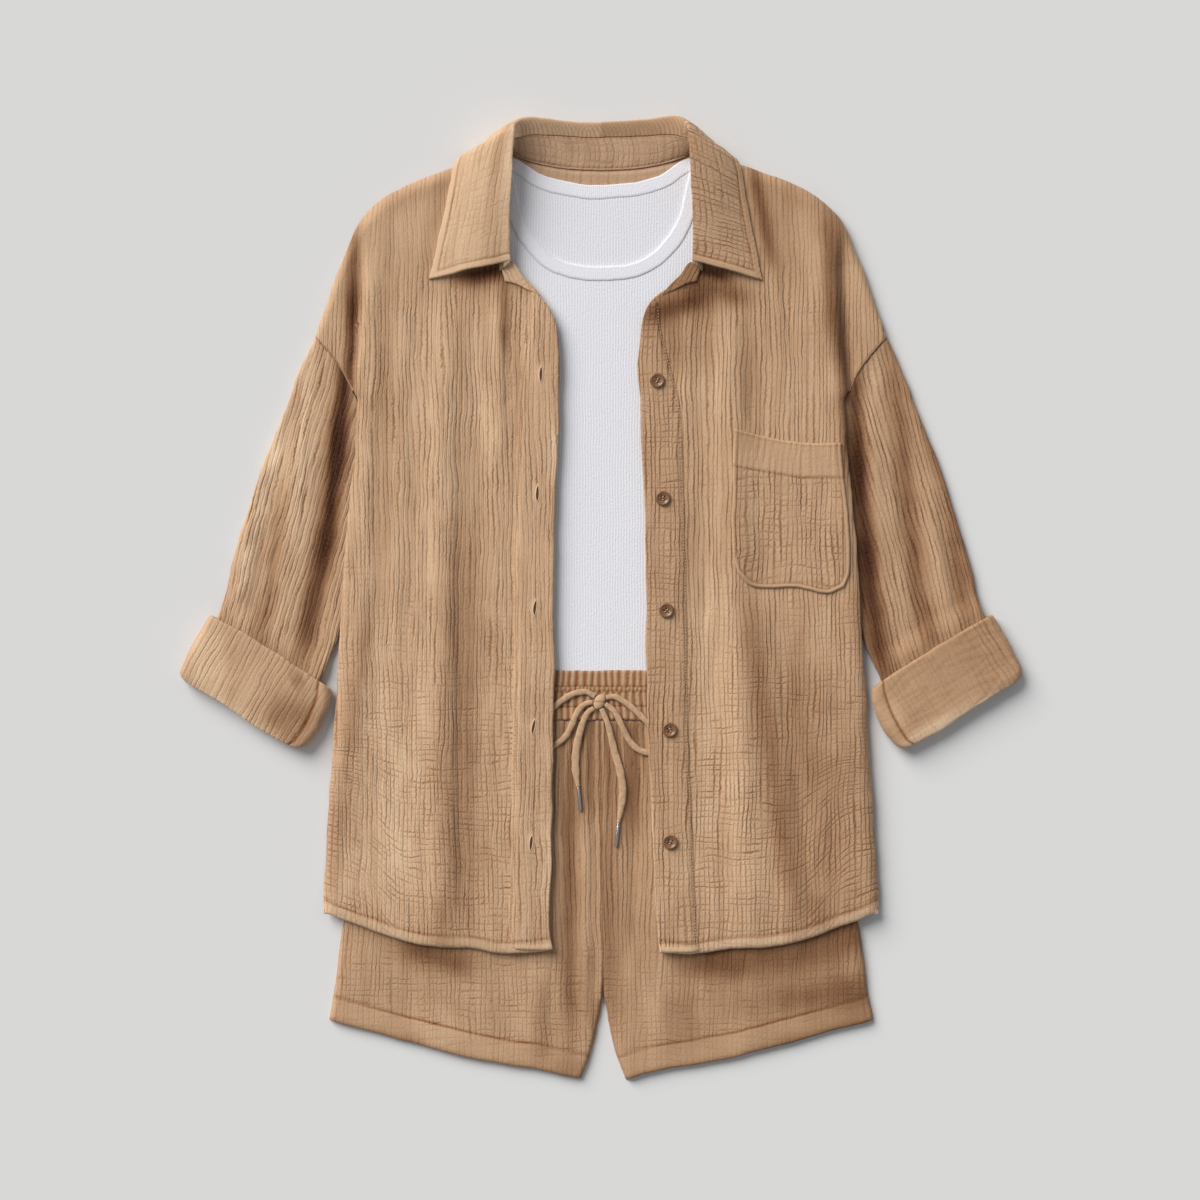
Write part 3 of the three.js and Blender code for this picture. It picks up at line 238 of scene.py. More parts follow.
# x0, y0, x1, y1, half width and height of soft folds; those after the first six are too small for the part
FRONT_FOLDS = {
    "right": [(158, 285, 161, -345, 17, 3.6), (127, 285, 124, -345, 13, -1.6), (224, 360, 246, -180, 10, 1.6),
              (196, 300, 206, -60, 10, 1.4), (103, 290, 99, 140, 8, 1.8), (84, -60, 79, -345, 13, 1.2),
              (92, 270, 93, 190, 6, -1.2), (218, 330, 228, 40, 6, -0.8), (182, 120, 186, -300, 7, 0.7),
              (142, 200, 141, -345, 5, -1.0)],
    "left": [(125, 290, 150, -345, 17, 3.8), (160, 10, 193, -335, 15, 2.2), (100, 120, 104, -300, 12, -1.2),
             (220, 360, 236, 190, 10, 1.4), (88, 290, 84, 150, 8, 1.4), (238, -140, 250, -300, 12, 1.2),
             (144, 280, 150, 175, 6, -1.1), (182, 330, 196, 200, 8, -0.7), (112, -40, 124, -340, 6, -0.8),
             (172, -20, 214, -330, 6, -1.0)],
}
SLEEVE_FOLDS = {
    "right": [(326, 130, 350, -24, 8, -2), (303, 175, 322, -50, 9, 1.6), (276, 150, 293, -66, 8, -1.8),
              (345, 90, 368, -14, 7, 1.2), (262, 190, 284, -60, 5, -1.4), (312, 190, 336, -40, 4, -0.9),
              (290, 220, 306, 60, 5, 0.8)],
    "left": [(268, 205, 290, -52, 9, 1.8), (300, 150, 322, -40, 8, -2), (326, 120, 346, -24, 9, 1.6),
             (352, 60, 366, -12, 7, -1.4), (286, 230, 304, 40, 4, -0.9), (338, 90, 356, -16, 4, -0.8)],
}
SHORTS_FOLDS = {
    "right": [(30, -180, 28, -430, 8, -1.8), (14, -175, 16, -380, 6, 0.8), (62, -330, 66, -450, 14, 1.2),
              (8, -130, 6, -440, 5, -1.0), (120, -340, 140, -450, 16, 0.9), (190, -340, 210, -440, 12, -0.7)],
    "left": [(32, -180, 34, -350, 7, -1.6), (52, -180, 60, -465, 13, 1.6), (16, -300, 18, -430, 7, -1),
             (8, -130, 9, -440, 5, -1.0), (130, -350, 150, -455, 16, 0.9), (200, -350, 222, -440, 12, -0.7)],
}
# x0, y0, x1, y1, half width and change of brightness: light that the folds catch, and shade between pieces
FRONT_SHADES = {
    "right": [(246, 395, 249, 270, 9, -0.5), (248, 330, 253, 150, 7, -0.72), (214, 420, 218, -20, 9, -0.16),
              (212, 0, 207, -350, 22, 0.26), (252, -230, 250, -330, 16, 0.12), (143, 90, 143, -352, 20, -0.3),
              (160, -290, 160, -356, 12, -0.25), (127, 285, 124, 150, 10, 0.14),
              (120, 235, 106, 100, 8, 0.12), (88, 333, 152, 317, 8, -0.66), (96, 328, 138, 317, 9, -0.5),
              (94, 320, 150, 304, 14, -0.16), (94, 345, 97, 235, 6, -0.5), (68, 308, 88, 320, 8, -0.3),
              (182, 300, 150, 450, 8, -0.16), (230, 392, 120, 428, 14, -0.16),
              (229, 10, 258, -200, 9, -0.26), (266, -190, 268, -290, 11, -0.2),
              (84, 260, 80, 130, 8, -0.1), (198, 30, 200, -150, 12, -0.1), (44, 175, 46, 110, 5, 0.4),
              (48, -200, 50, -345, 6, 0.32)],
    "left": [(226, 410, 231, 240, 10, -0.5), (238, 400, 237, 240, 8, -0.3), (238, 290, 250, 110, 8, -0.62),
             (173, 325, 148, 450, 8, -0.6), (186, 300, 180, 430, 15, -0.18), (230, 392, 150, 425, 14, -0.14),
             (80, 333, 132, 320, 8, -0.84), (70, 320, 156, 298, 14, -0.56), (96, 320, 104, 226, 14, -0.24),
             (34, 280, 112, 304, 14, -0.66), (60, 312, 78, 220, 14, -0.26), (146, 290, 148, 150, 12, -0.24),
             (122, 180, 126, 20, 9, -0.15), (106, 70, 104, -315, 13, 0.22), (142, 30, 200, -350, 14, -0.46),
             (192, -10, 198, -210, 14, -0.2), (224, -80, 232, -330, 30, -0.26),
             (216, -110, 236, -150, 14, 0.14), (252, 30, 262, -60, 8, -0.2),
             (216, -290, 224, -338, 11, -0.25), (284, -60, 286, -320, 14, -0.2),
             (62, 250, 64, -250, 20, -0.07), (46, -170, 56, -345, 6, 0.18)],
}
SLEEVE_SHADES = {
    "right": [(250, 310, 266, 110, 10, -0.87), (260, 190, 278, 20, 10, -0.84), (268, 100, 302, -70, 11, -0.7),
              (320, 170, 346, 60, 8, 0.5), (316, 110, 338, -50, 9, -0.3),
              (338, -5, 348, -50, 8, -0.25), (350, 60, 360, 5, 7, 0.3), (296, 200, 304, 50, 8, 0.16),
              (374, 75, 384, -15, 7, -0.25), (290, 262, 296, 190, 8, 0.12)],
    "left": [(250, 285, 260, 80, 8, -0.66), (253, 180, 270, 10, 10, -0.72), (261, 75, 286, -100, 12, -0.76),
             (288, 270, 326, -60, 9, -0.42), (324, 0, 334, -50, 8, -0.34), (346, 95, 368, -45, 9, -0.34),
             (306, 245, 402, -35, 13, -0.5), (370, 40, 392, -25, 12, -0.22), (268, 270, 276, 205, 7, 0.16)],
}
CUFF_SHADES = {
    "right": [(336, -105, 283, -122, 20, -0.36), (338, -120, 290, -148, 10, -0.14),
              (412, -60, 372, -60, 34, 0.3), (402, -92, 315, -144, 8, 0.3), (296, -78, 310, -84, 10, -0.3)],
    "left": [(330, -40, 410, -60, 40, -0.12), (412, -90, 300, -149, 8, 0.8),
             (288, -100, 300, -130, 10, 0.22)],
}
SHORTS_SHADES = {
    "right": [(204, -346, 120, -371, 15, -0.56), (31, -95, 31, -478, 9, -0.4), (10, -100, 12, -225, 9, -0.34),
              (10, -340, 12, -440, 8, -0.2), (58, -380, 60, -478, 12, -0.26), (96, -385, 92, -445, 14, -0.06),
              (150, -410, 180, -440, 20, 0.14), (52, -468, 14, -470, 12, -0.2),
              (232, -434, 170, -452, 10, -0.16)],
    "left": [(10, -100, 10, -440, 8, -0.2), (31, -100, 33, -250, 9, -0.4), (70, -364, 156, -372, 14, -0.42),
             (250, -365, 258, -440, 26, -0.2), (160, -404, 280, -390, 18, -0.44),
             (76, -390, 90, -450, 18, -0.22), (150, -456, 264, -430, 13, -0.3),
             (100, -400, 180, -404, 20, -0.14)],
}
SLEEVE_SEAM = flat(ARMHOLE)[::-1] + [(239, 180), (231, 150)]
SLEEVE_OUTER = [(407, -75), (400, -48), (382, -13), (369, 39), (355, 85), (337.5, 139), (320.5, 180),
                (303, 227), (293, 250), (286.5, 263)]
SLEEVE_INNER = [(304, -135), (291, -106), (280, -79), (264, -42), (248, 20), (238, 80), (232, 130),
                (231, 150)]
CUFF_MOUTH = [(414, -85), (400, -92), (369.6, -111), (339, -132), (310.4, -147), (301, -149)]
CUFF_END = [(391, -15), (373.7, -24.3), (339, -44.7), (298, -71), (271, -89)]
CUFF_OUTER = [(414, -85), (421, -76), (418.5, -65), (405, -38), (391, -15)]
CUFF_INNER = [(301, -149), (293, -145), (280.5, -127), (271.5, -103), (271, -89)]
BACK_SIDE = [(275.5, -301), (270, -180), (262, -100), (247, -50), (240, 20), (233, 90), (228, 130),
             (228.5, 150), (236.2, 180), (248.4, 212.6), (262.2, 238.4), (285.4, 263)]
BACK_HEM = [(275.5, -301), (225, -320), (165, -336), (95, -342), (0, -343)]
BACK_NECK = [(93, 451.5), (83, 442), (62, 435.5), (35, 431), (0, 430)]
# neck, seam, fold, mid, turn and edge, each x, y, z, from the front end over the shoulder to the back
COLLAR_SECTIONS = np.array([
    [(100.5, 328, 15.2), (96.5, 331, 18.4), (92, 336.5, 22.4), (124, 329.6, 23.4), (149, 324, 21),
     (172, 318.5, 17.6)],
    [(102.2, 365, 15.1), (97.4, 367, 21.5), (92, 370, 27), (118, 364, 26), (141, 359, 22),
     (163.5, 354, 17.6)],
    [(100.3, 405, 14.9), (94, 408, 26.5), (90.5, 412, 31.5), (113, 406, 29.5), (134, 399, 24.5),
     (155.5, 391, 17.6)],
    [(90.5, 447, 10), (88.5, 453, 27), (88, 460, 33.5), (110, 451, 30), (130, 442.5, 23.5),
     (147, 433.5, 15.5)],
    [(87, 446, 8), (86.8, 457.6, 23.2), (87, 467.5, 32.5), (108, 459, 25), (123, 451, 14), (133.5, 444, 5.5)],
    [(80, 442, 7.1), (82.7, 459.5, 20.4), (85.5, 474, 29), (102, 468, 17), (115, 458, 2.4),
     (121, 448.5, 0.2)],
    [(60, 436, 6.2), (65, 463.5, 14), (71, 479.3, 20), (76, 479.2, 9.5), (76, 470, 0.2), (68, 424, 0.2)],
    [(33, 431.5, 6), (35, 462.5, 9.8), (37, 476.8, 14), (39, 475.5, 5.5), (39, 464, 0.2), (35, 418, 0.2)],
    [(0, 430, 6), (0, 461.5, 8.8), (0, 474.8, 12.4), (0, 474, 4.8), (0, 463, 0.2), (0, 415, 0.2)],
])
FALL_WIDTH = {"right": 1.0, "left": 0.87}
POCKET_TOP = [(132.7, 168.8), (162, 162.2), (183, 158.3), (211, 155.5), (240, 155.3)]
POCKET_BOTTOM = [(136, 26), (150, 14), (169, 11), (197, 11), (226, 5.3), (242, 12)]
POCKET_INNER = [(136, 26), (131, 46), (131, 100), (132.7, 168.8)]
POCKET_OUTER = [(242, 12), (248, 28), (247.5, 73), (243, 115), (240, 155.3)]
# x, y and turn in degrees
BUTTONS = [(56, 218, 20), (61.7, 100.5, 40), (65, -11.3, 0), (68.5, -130.4, 65), (68.9, -242.3, 30)]
BUTTONHOLES = [(59.8, 224, 2), (63, 104.6, 3), (65.5, -8.8, 4), (67.4, -127.5, 8), (69.3, -243.3, 10)]
TANK_SIDE = [(150, -144), (152, -70), (170, 20), (182, 150), (188, 250), (160, 300), (140, 370), (132, 431)]
TANK_NECK = {"front": [(104, 431), (98, 405), (91.5, 380), (78, 355), (56, 332), (30, 321.5), (0, 319.5)],
             "back": [(104, 431), (88, 427), (66, 413), (42, 405.5), (20, 402), (0, 401)]}
BINDING = 13.5
SHORTS_SIDE = [(273, -421.5, 2.3, 9), (268.5, -398, 2.5, 9), (264, -366, 3.2, 9), (258, -325, 4.6, 8),
               (240, -262, 4.6, 8), (208, -190, 4.6, 8), (178, -130, 4.6, 8), (168, -121.5, 4.6, 8)]
SHORTS_HEM = [(273, -421.5), (232, -432.5), (181, -446.5), (140, -457.5), (99, -465.7), (58, -472),
              (23, -480.7)]
SHORTS_INNER = {
    "right": [(20, -480.7), (11, -458), (5.5, -437), (-0.5, -405), (-2, -370), (-0.5, -260), (1, -121.5)],
    "left": [(25, -480.7), (15.5, -458), (9.5, -434), (4.5, -405), (3, -370), (1.5, -260), (0, -121.5)],
}
WAIST = dict(top=-71.5, bottom=-121.0, half_width=168.0, low=1.9)
CORD_WIDTH, CORD_THICK = 6.2, 2.8
KNOT = dict(x=-1.5, y=-102.5, long=8.0, across=5.4, high=5.0, turn=65, clear=0.8)
CORD_RUNS = {
    "loop_right": (132, 186, [(-14, -93), (-26, -94), (-38.7, -101), (-52, -112), (-64, -123), (-71, -136),
                              (-65, -146.5), (-54, -148.5), (-44, -144.5), (-34.5, -136), (-28.5, -124),
                              (-22.5, -111), (-15, -104.5)]),
    "loop_left": (32, 338, [(13, -97.5), (23, -102.5), (35, -112), (47, -124), (57, -135), (61.5, -145.5),
                            (56, -153), (46, -153.5), (36, -149.5), (27.5, -140), (20.5, -126),
                            (13.5, -112.5)]),
    "end_right": (228, None, [(-13.5, -114), (-19, -126), (-25, -152), (-25.3, -171), (-22.8, -188)]),
    "end_left": (285, None, [(6.5, -124), (13.5, -152), (19, -171.5), (21.6, -190.7), (20, -209.8),
                             (17.4, -224)]),
}
TIPS = {"right": ("end_right", (-20.6, -212)), "left": ("end_left", (14.6, -248))}
TIP_RADIUS = 1.7


# ---------------------------------------------------------------- heights, as the part has them
def fold_height(folds, x, y, taper=0.18):
    """The height of soft folds, each a straight ridge or valley that fades at its ends."""
    total = np.zeros_like(x)
    for x0, y0, x1, y1, w, h in folds:
        dx, dy = x1 - x0, y1 - y0
        along = ((x - x0) * dx + (y - y0) * dy) / (dx * dx + dy * dy)
        away = ((x - x0) * dy - (y - y0) * dx) / math.hypot(dx, dy)
        fade = smooth(along / taper + 0.3) * smooth((1 - along) / taper + 0.3)
        total += h * fade * bump_at(away, 0, w)
    return total


def shaded(tone_and_shade, rows, x, y):
    """A change of brightness, with a table of shades laid over it."""
    share = 1.0 + tone_and_shade
    for row in rows:
        share = share * (1 + fold_height([row], x, y, 0.42))
    return share - 1


def edge_rounder(rows):
    """How cloth rounds down towards an edge that has its own height and its own width of rounding."""
    line = drawn(rows, 61)
    length = run_of(line[:, :2])

    def rounded(x, y, height):
        away, along = along_line(x, y, line)
        z, r = (np.interp(along, length, line[:, c]) for c in (2, 3))
        k = clip01(1 - away / r)
        return mix(z, height, np.sqrt(1 - k * k))

    return rounded


def with_edge(rows, z, r):
    """A table of x and y as an edge of one height and one width of rounding."""
    return [(x, y, z, r) for x, y in flat(rows)]


# y below which the side and the hems round the cloth, and above which the shoulder does
SIDE_TOP, SHOULDER_FOOT, HEM_TOP, LEG_TOP = 205, 255, -280, -380

round_side, round_shoulder = edge_rounder(SIDE_EDGE), edge_rounder(SHOULDER_EDGE)
round_hem = edge_rounder(with_edge(SHIRT_HEM, 12.8, 16))


def front_height(side, x, y):
    """The face of a shirt front, with the turn down to its dropped shoulder."""
    neck = smooth((y - 270) / 50) * smooth((185 - x) / 60)
    z = mix(TOP["shirt_front"], TOP["front_neck"], neck) + fold_height(FRONT_FOLDS[side], x, y)
    crease, depth = (np.interp(y, ARM_CREASE[:, 0], ARM_CREASE[:, c]) for c in (1, 2))
    beyond = smooth((x - crease + 2) / 9) * depth
    z = mix(z, TOP["drop_shoulder"], beyond) - 1.6 * depth * bump_at(x - crease, 9, 5)
    z = np.where(y < SIDE_TOP, round_side(x, y, z), z)
    z = np.where(y > SHOULDER_FOOT, round_shoulder(x, y, z), z)
    return np.where(y < HEM_TOP, round_hem(x, y, z), z)


def back_height(y):
    return mix(TOP["shirt_back"], TOP["over_collar"], smooth((y - 380) / 20))


def shorts_back_height(x, y):
    return mix(GAUZE, TOP["shorts_back"], smooth((y + 390 - 0.15 * x) / 30))


round_shorts_side = edge_rounder(SHORTS_SIDE[:6])
round_inner = {side: edge_rounder(with_edge(SHORTS_INNER[side][:4], 2.6, 8)) for side in SIDES}


def shorts_front_height(side, x, y):
    z = mix(TOP["shorts_hem"], TOP["shorts_front"], smooth((y + 440) / 130))
    z = round_shorts_side(x, y, z + fold_height(SHORTS_FOLDS[side], x, y))
    return np.where(y < LEG_TOP, round_inner[side](x, y, z), z)


# ---------------------------------------------------------------- relief
class Relief:
    """What is pressed into a cloth's face, over a grid: how deep it is, the painted shade in it, and where
    its creases run. The ribs lie across s, the wefts across t; each phase is a whole number on a crease."""

    def __init__(self, s, t, seed, depth=0.6, ribs=1.0, wefts=0.3, pitch=4.7):
        bend = 0.9 * noise(s / 80, t / 320, seed) + 0.62 * noise(s / 15, t / 95, seed + 1)
        self.ribs = s / pitch + bend + 0.12 * noise(s / 8, t / 18, seed + 9)
        bend = 0.8 * noise(s / 110, t / 60, seed + 4) + 0.42 * noise(s / 24, t / 17, seed + 5)
        self.wefts = t / (1.35 * pitch) + bend
        self.rib_power = ribs * np.clip(0.8 + 0.45 * noise(s / 14, t / 80, seed + 3), 0.2, 1.2)
        self.weft_power = wefts * np.clip(0.65 + 0.75 * noise(s / 20, t / 15, seed + 7), 0, 1.2)
        cloud = 0.09 * noise(s / 8, t / 75, seed + 14) + 0.05 * noise(s / 19, t / 60, seed + 15)
        self.light = (depth > 0) * cloud
        soft = [power * np.exp(-((np.sin(np.pi * phase) / 0.8) ** 2))
                for phase, power in ((self.ribs, self.rib_power), (self.wefts, 0.7 * self.weft_power))]
        self.depth = depth * (0.8 * np.maximum(*soft) + 0.25 * (1 + noise(s / 15, t / 90, seed + 8)))
        self.dark = 0.0 * self.depth

    def calm(self, share):
        """Keeps only a share of the creases."""
        self.depth, self.light = self.depth * share, self.light * share
        self.rib_power, self.weft_power = self.rib_power * share, self.weft_power * share
        return self

    def press(self, depth, dark=0):
        """Presses something more into the face, as deep as given, with painted shade as dark as given."""
        self.depth, self.dark = self.depth + depth, self.dark + dark
        return self

    def blend(self, other, share):
        """This relief where share is 0, and the other where it is 1."""
        for key in vars(self):
            setattr(self, key, mix(getattr(self, key), getattr(other, key), share))
        return self

    # valley: the painted shade in the creases, grooves and gathers, from 0 to 1
    def fields(self):
        return dict(ribs=self.ribs, wefts=self.wefts, rib_power=self.rib_power, weft_power=self.weft_power,
                    valley=clip01(self.dark))


# ---------------------------------------------------------------- meshes
def make_mesh(name, points, faces, fields=None, grain=None, flat_rim=False):
    """A mesh from points and lists of faces, each list with its own number of corners. With flat_rim the
    last list is shaded flat, which keeps a cut edge crisp. The fields become attributes of the points."""
    mesh = bpy.data.meshes.new(name)
    mesh.vertices.add(len(points))
    mesh.vertices.foreach_set("co", (np.asarray(points) * MM).ravel())
    corners = np.concatenate([f.ravel() for f in faces])
    sizes = np.concatenate([np.full(len(f), f.shape[1]) for f in faces])
    mesh.loops.add(len(corners))
    mesh.loops.foreach_set("vertex_index", corners)
    mesh.polygons.add(len(sizes))
    mesh.polygons.foreach_set("loop_start", np.concatenate([[0], np.cumsum(sizes)[:-1]]))
    mesh.polygons.foreach_set("use_smooth", np.arange(len(sizes)) < len(sizes) - flat_rim * len(faces[-1]))
    for key, values in (fields or {}).items():
        mesh.attributes.new(key, "FLOAT", "POINT").data.foreach_set("value", np.asarray(values, np.float32))
    if grain is not None:
        uv = mesh.uv_layers.new(name="grain")
        uv.data.foreach_set("uv", (np.asarray(grain)[corners] * MM).astype(np.float32).ravel())
    mesh.update(calc_edges=True)
    mesh.validate()
    return mesh


def looped(grid):
    """A grid with its first column again at its end."""
    return np.concatenate([grid, grid[:, :1]], 1)


def quads(grid):
    """The cells of a grid of point numbers."""
    return np.stack([grid[:-1, :-1], grid[:-1, 1:], grid[1:, 1:], grid[1:, :-1]], -1).reshape(-1, 4)


def turned(faces, wrong):
    """Lists of faces, with each face the other way round where that is wrong."""
    return [f[:, ::-1] for f in faces] if wrong else faces


def capped(rings):
    """Points and faces of a solid from rings of points, with a face over each end."""
    m, n = rings.shape[:2]
    points, grid = rings.reshape(-1, 3), looped(np.arange(m * n).reshape(m, n))
    sides = quads(grid)[:, [0, 3, 2, 1]]
    return points, turned([sides, grid[:1, :-1], grid[-1:, :-1][:, ::-1]], volume_sign(points, sides) < 0)


def normals(points, closed):
    """Unit normals of a grid of points."""
    du = np.roll(points, -1, 1) - np.roll(points, 1, 1) if closed else np.gradient(points, axis=1)
    n = np.cross(du, np.gradient(points, axis=0))
    return n / np.maximum(np.linalg.norm(n, axis=2, keepdims=True), 1e-9)


def walled(outer, inner, closed):
    """Points and faces of a closed wall: a fine outer grid, and some points of the inner one."""
    k = STRIDE
    m, n = outer.shape[:2]
    top = np.arange(m * n).reshape(m, n)
    rows, columns = np.arange(0, m, k), np.arange(0, n, k)
    low = m * n + np.arange(len(rows) * len(columns)).reshape(len(rows), len(columns))
    points = np.concatenate([outer.reshape(-1, 3), inner[np.ix_(rows, columns)].reshape(-1, 3)])
    if closed:
        top, low = looped(top), looped(low)

    def rim(fine, coarse, forward):
        run = np.hstack([fine[:-1].reshape(-1, k), fine[k::k, None]])
        pair = np.stack([coarse[1:], coarse[:-1]], 1)
        return np.hstack([run, pair]) if forward else np.hstack([run[:, ::-1], pair[:, ::-1]])

    rims = [rim(top[0], low[0], False), rim(top[-1], low[-1], True)]
    if not closed:
        rims += [rim(top[:, 0], low[:, 0], True), rim(top[:, -1], low[:, -1], False)]
    return points, [quads(top), quads(low)[:, ::-1], np.concatenate(rims)]


def volume_sign(points, cells):
    """Above zero where the cells of a closed form look outwards."""
    a, b, c, d = (points[cells[:, i]] for i in range(4))
    return np.sign((a * (np.cross(b, c) + np.cross(c, d))).sum())


def flat_sizes(points, closed):
    """Width, length and area of the cloth that a grid stands for."""
    ring = looped(points) if closed else points
    width = np.linalg.norm(np.diff(ring, axis=1), axis=2).sum(1).max()
    length = np.linalg.norm(np.diff(ring, axis=0), axis=2).sum(0).max()
    a, b = ring[:-1, 1:] - ring[:-1, :-1], ring[1:, :-1] - ring[:-1, :-1]
    return width, length, np.linalg.norm(np.cross(a, b), axis=2).sum()


def place_piece(name, mesh, materials, nodes=()):
    for material in materials if isinstance(materials, tuple) else (materials,):
        mesh.materials.append(material)
    piece = bpy.data.objects.new(name, mesh)
    scene.collection.objects.link(piece)
    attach(piece, "root")
    if nodes:
        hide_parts(*nodes)
    return piece


def run_along(points, axis):
    """How far each point of a grid is along its own row or column."""
    run = np.linalg.norm(np.diff(points, axis=axis), axis=2)
    zero = np.zeros_like(run[:1] if axis == 0 else run[:, :1])
    return np.concatenate([zero, np.cumsum(run, axis)], axis)


def edge_round(points, radius, closed):
    """How far the face drops near the grid's own edges."""
    up = run_along(points, 0)
    away = np.minimum(up, up[-1] - up)
    if not closed:
        across = run_along(points, 1)
        away = np.minimum(away, np.minimum(across, across[:, -1:] - across))
    k = clip01(1 - away / radius)
    return radius * (1 - np.sqrt(1 - k * k))


def cloth(name, points, thickness, relief, material, nodes, grain, closed=False, radius=0.7, tone_and_shade=0.0,
          up=True):
    """A cloth piece over a grid of points, with a relief pressed into its face, which looks up or, for a
    closed tube and what folds over, outwards."""
    points = wander(points)
    n = normals(points, closed)
    outwards = n[..., 2] if up else n * (points - points.mean(1, keepdims=True))
    if outwards.sum() < 0:
        n = -n
    drop = np.minimum(edge_round(points, radius, closed), 0.55 * thickness)
    face = np.minimum(relief.depth - RIDGE, 0.6 * thickness)
    outer = points - n * (face + drop)[..., None]
    all_points, faces = walled(outer, points - n * thickness, closed)
    if closed:
        inward = volume_sign(all_points, faces[0]) < 0
    else:
        i, j = outer.shape[0] // 2, outer.shape[1] // 2
        inward = np.cross(outer[i, j + 1] - outer[i, j], outer[i + 1, j] - outer[i, j]) @ n[i, j] < 0

    def both(field):
        """A field's values for the fine outer grid and then for the coarse inner one."""
        field = np.broadcast_to(np.asarray(field, float), points.shape[:2] + np.shape(field)[2:])
        return np.concatenate([f.reshape(-1, *field.shape[2:]) for f in (field, field[::STRIDE, ::STRIDE])])

    fields = {key: both(value) for key, value in relief.fields().items()}
    # the cloth's random changes of colour, with painted light and painted shade laid over them
    fields["tone_and_shade"] = both((1 + tone_and_shade) * (1 + relief.light) - 1)
    mesh = make_mesh(name, all_points, turned(faces, inward), fields, both(grain), flat_rim=True)
    piece = place_piece(name, mesh, material, nodes)
    width, length, area = flat_sizes(points - n * (thickness / 2), closed)


def stitches(name, rows, length=2.1, step=3.0, width=0.55):
    """Short threads laid end to end along lines of points, on the cloth. Each is a square rod that tapers."""
    high = 0.3
    corners = [(4 * ring + k, 4 * ring + (k + 1) % 4) for ring in range(3) for k in range(4)]
    rod = np.array([[a, b, b + 4, a + 4] for a, b in corners] + [[3, 2, 1, 0], [12, 13, 14, 15]])
    points, faces = [], []
    for line in rows:
        line = wander(np.asarray(line, float))
        at = run_of(line)
        starts = np.arange(0.4, max(0.5, at[-1] - length), step)
        ends = [np.stack([np.interp(starts + o, at, line[:, c]) for c in range(3)], 1) for o in (0, length)]
        along = ends[1] - ends[0]
        along /= np.linalg.norm(along, axis=1, keepdims=True)
        side = np.cross(along, [0, 0, 1.0])
        side /= np.maximum(np.linalg.norm(side, axis=1, keepdims=True), 1e-6)
        rise = np.cross(side, along)
        first = sum(len(p) for p in points)
        cells = [mix(*ends, share) + side * (a * width / 2 * swell) + rise * ((b * swell + 0.3) * high)
                 for share, swell in ((0.0, 0.35), (0.3, 1), (0.7, 1), (1.0, 0.35))
                 for a, b in ((1, 0), (0, 1), (-1, 0), (0, -1))]
        points.append(np.stack(cells, 1).reshape(-1, 3))
        base = first + len(cells) * np.arange(len(starts))[:, None]
        faces += [base + quad for quad in rod]
    points = np.concatenate(points)
    fields = {"valley": np.zeros(len(points)), "tone_and_shade": np.full(len(points), 0.05)}
    mesh = make_mesh(name, points, [np.concatenate(faces)], fields, points[:, :2])
    return place_piece(name, mesh, thread)


# ---------------------------------------------------------------- materials
def node(tree, kind, inputs=(), **settings):
    made = tree.nodes.new("ShaderNode" + kind)
    for key, value in settings.items():
        setattr(made, key, value)
    for socket, value in dict(inputs).items():
        if isinstance(value, bpy.types.NodeSocket):
            tree.links.new(value, made.inputs[socket])
        else:
            made.inputs[socket].default_value = value
    return made


def linear(colour):
    """A colour from 0 to 255, as the screen has it, as Blender takes it."""
    c = np.array(colour) / 255
    return [*np.where(c <= 0.04045, c / 12.92, ((c + 0.055) / 1.055) ** 2.4), 1.0]


def mixed(tree, factor, a, b, blend="MIX"):
    return node(tree, "Mix", {0: factor, 6: a, 7: b}, data_type="RGBA", blend_type=blend).outputs[2]


def maths(tree, operation, *values, clamp=False):
    return node(tree, "Math", dict(enumerate(values)), operation=operation, use_clamp=clamp).outputs[0]


def times(tree, a, b):
    return maths(tree, "MULTIPLY", a, b)


def mottle_of(tree, scale, detail, **inputs):
    """Cloudy noise from 0 to 1."""
    inputs = {key.replace("_", " "): value for key, value in inputs.items()}
    return node(tree, "TexNoise", {"Scale": scale, "Detail": detail, **inputs}).outputs["Fac"]


def bump(tree, strength, distance, height, below=None, **settings):
    inputs = {"Strength": strength, "Distance": distance * MM, "Height": height}
    if below:
        inputs["Normal"] = below
    return node(tree, "Bump", inputs, **settings).outputs[0]


def new_material(name, roughness, **settings):
    made = bpy.data.materials.new(name)
    made.use_nodes = True
    shader = made.node_tree.nodes["Principled BSDF"]
    shader.inputs["Roughness"].default_value = roughness
    for key, value in settings.items():
        shader.inputs[key.replace("_", " ")].default_value = value
    return made, made.node_tree, shader


def threads(tree, uv, direction, pitch, seed):
    """Threads across the cloth, a pitch in millimetres apart."""
    scale = 2 * math.pi / 20 / (pitch * MM)
    return node(tree, "TexWave", {"Vector": uv, "Scale": scale, "Distortion": 1.6, "Detail": 1.5,
                                  "Detail Scale": 0.35, "Phase Offset": seed}, wave_type="BANDS",
                bands_direction=direction).outputs["Fac"]


def attribute(tree, name):
    return node(tree, "Attribute", attribute_name=name).outputs["Fac"]


def ramp(tree, value, start, end):
    """0 at start, 1 at end, smooth between them."""
    return node(tree, "MapRange", {0: value, 1: start, 2: end, 3: 0.0, 4: 1.0},
                interpolation_type="SMOOTHSTEP").outputs[0]


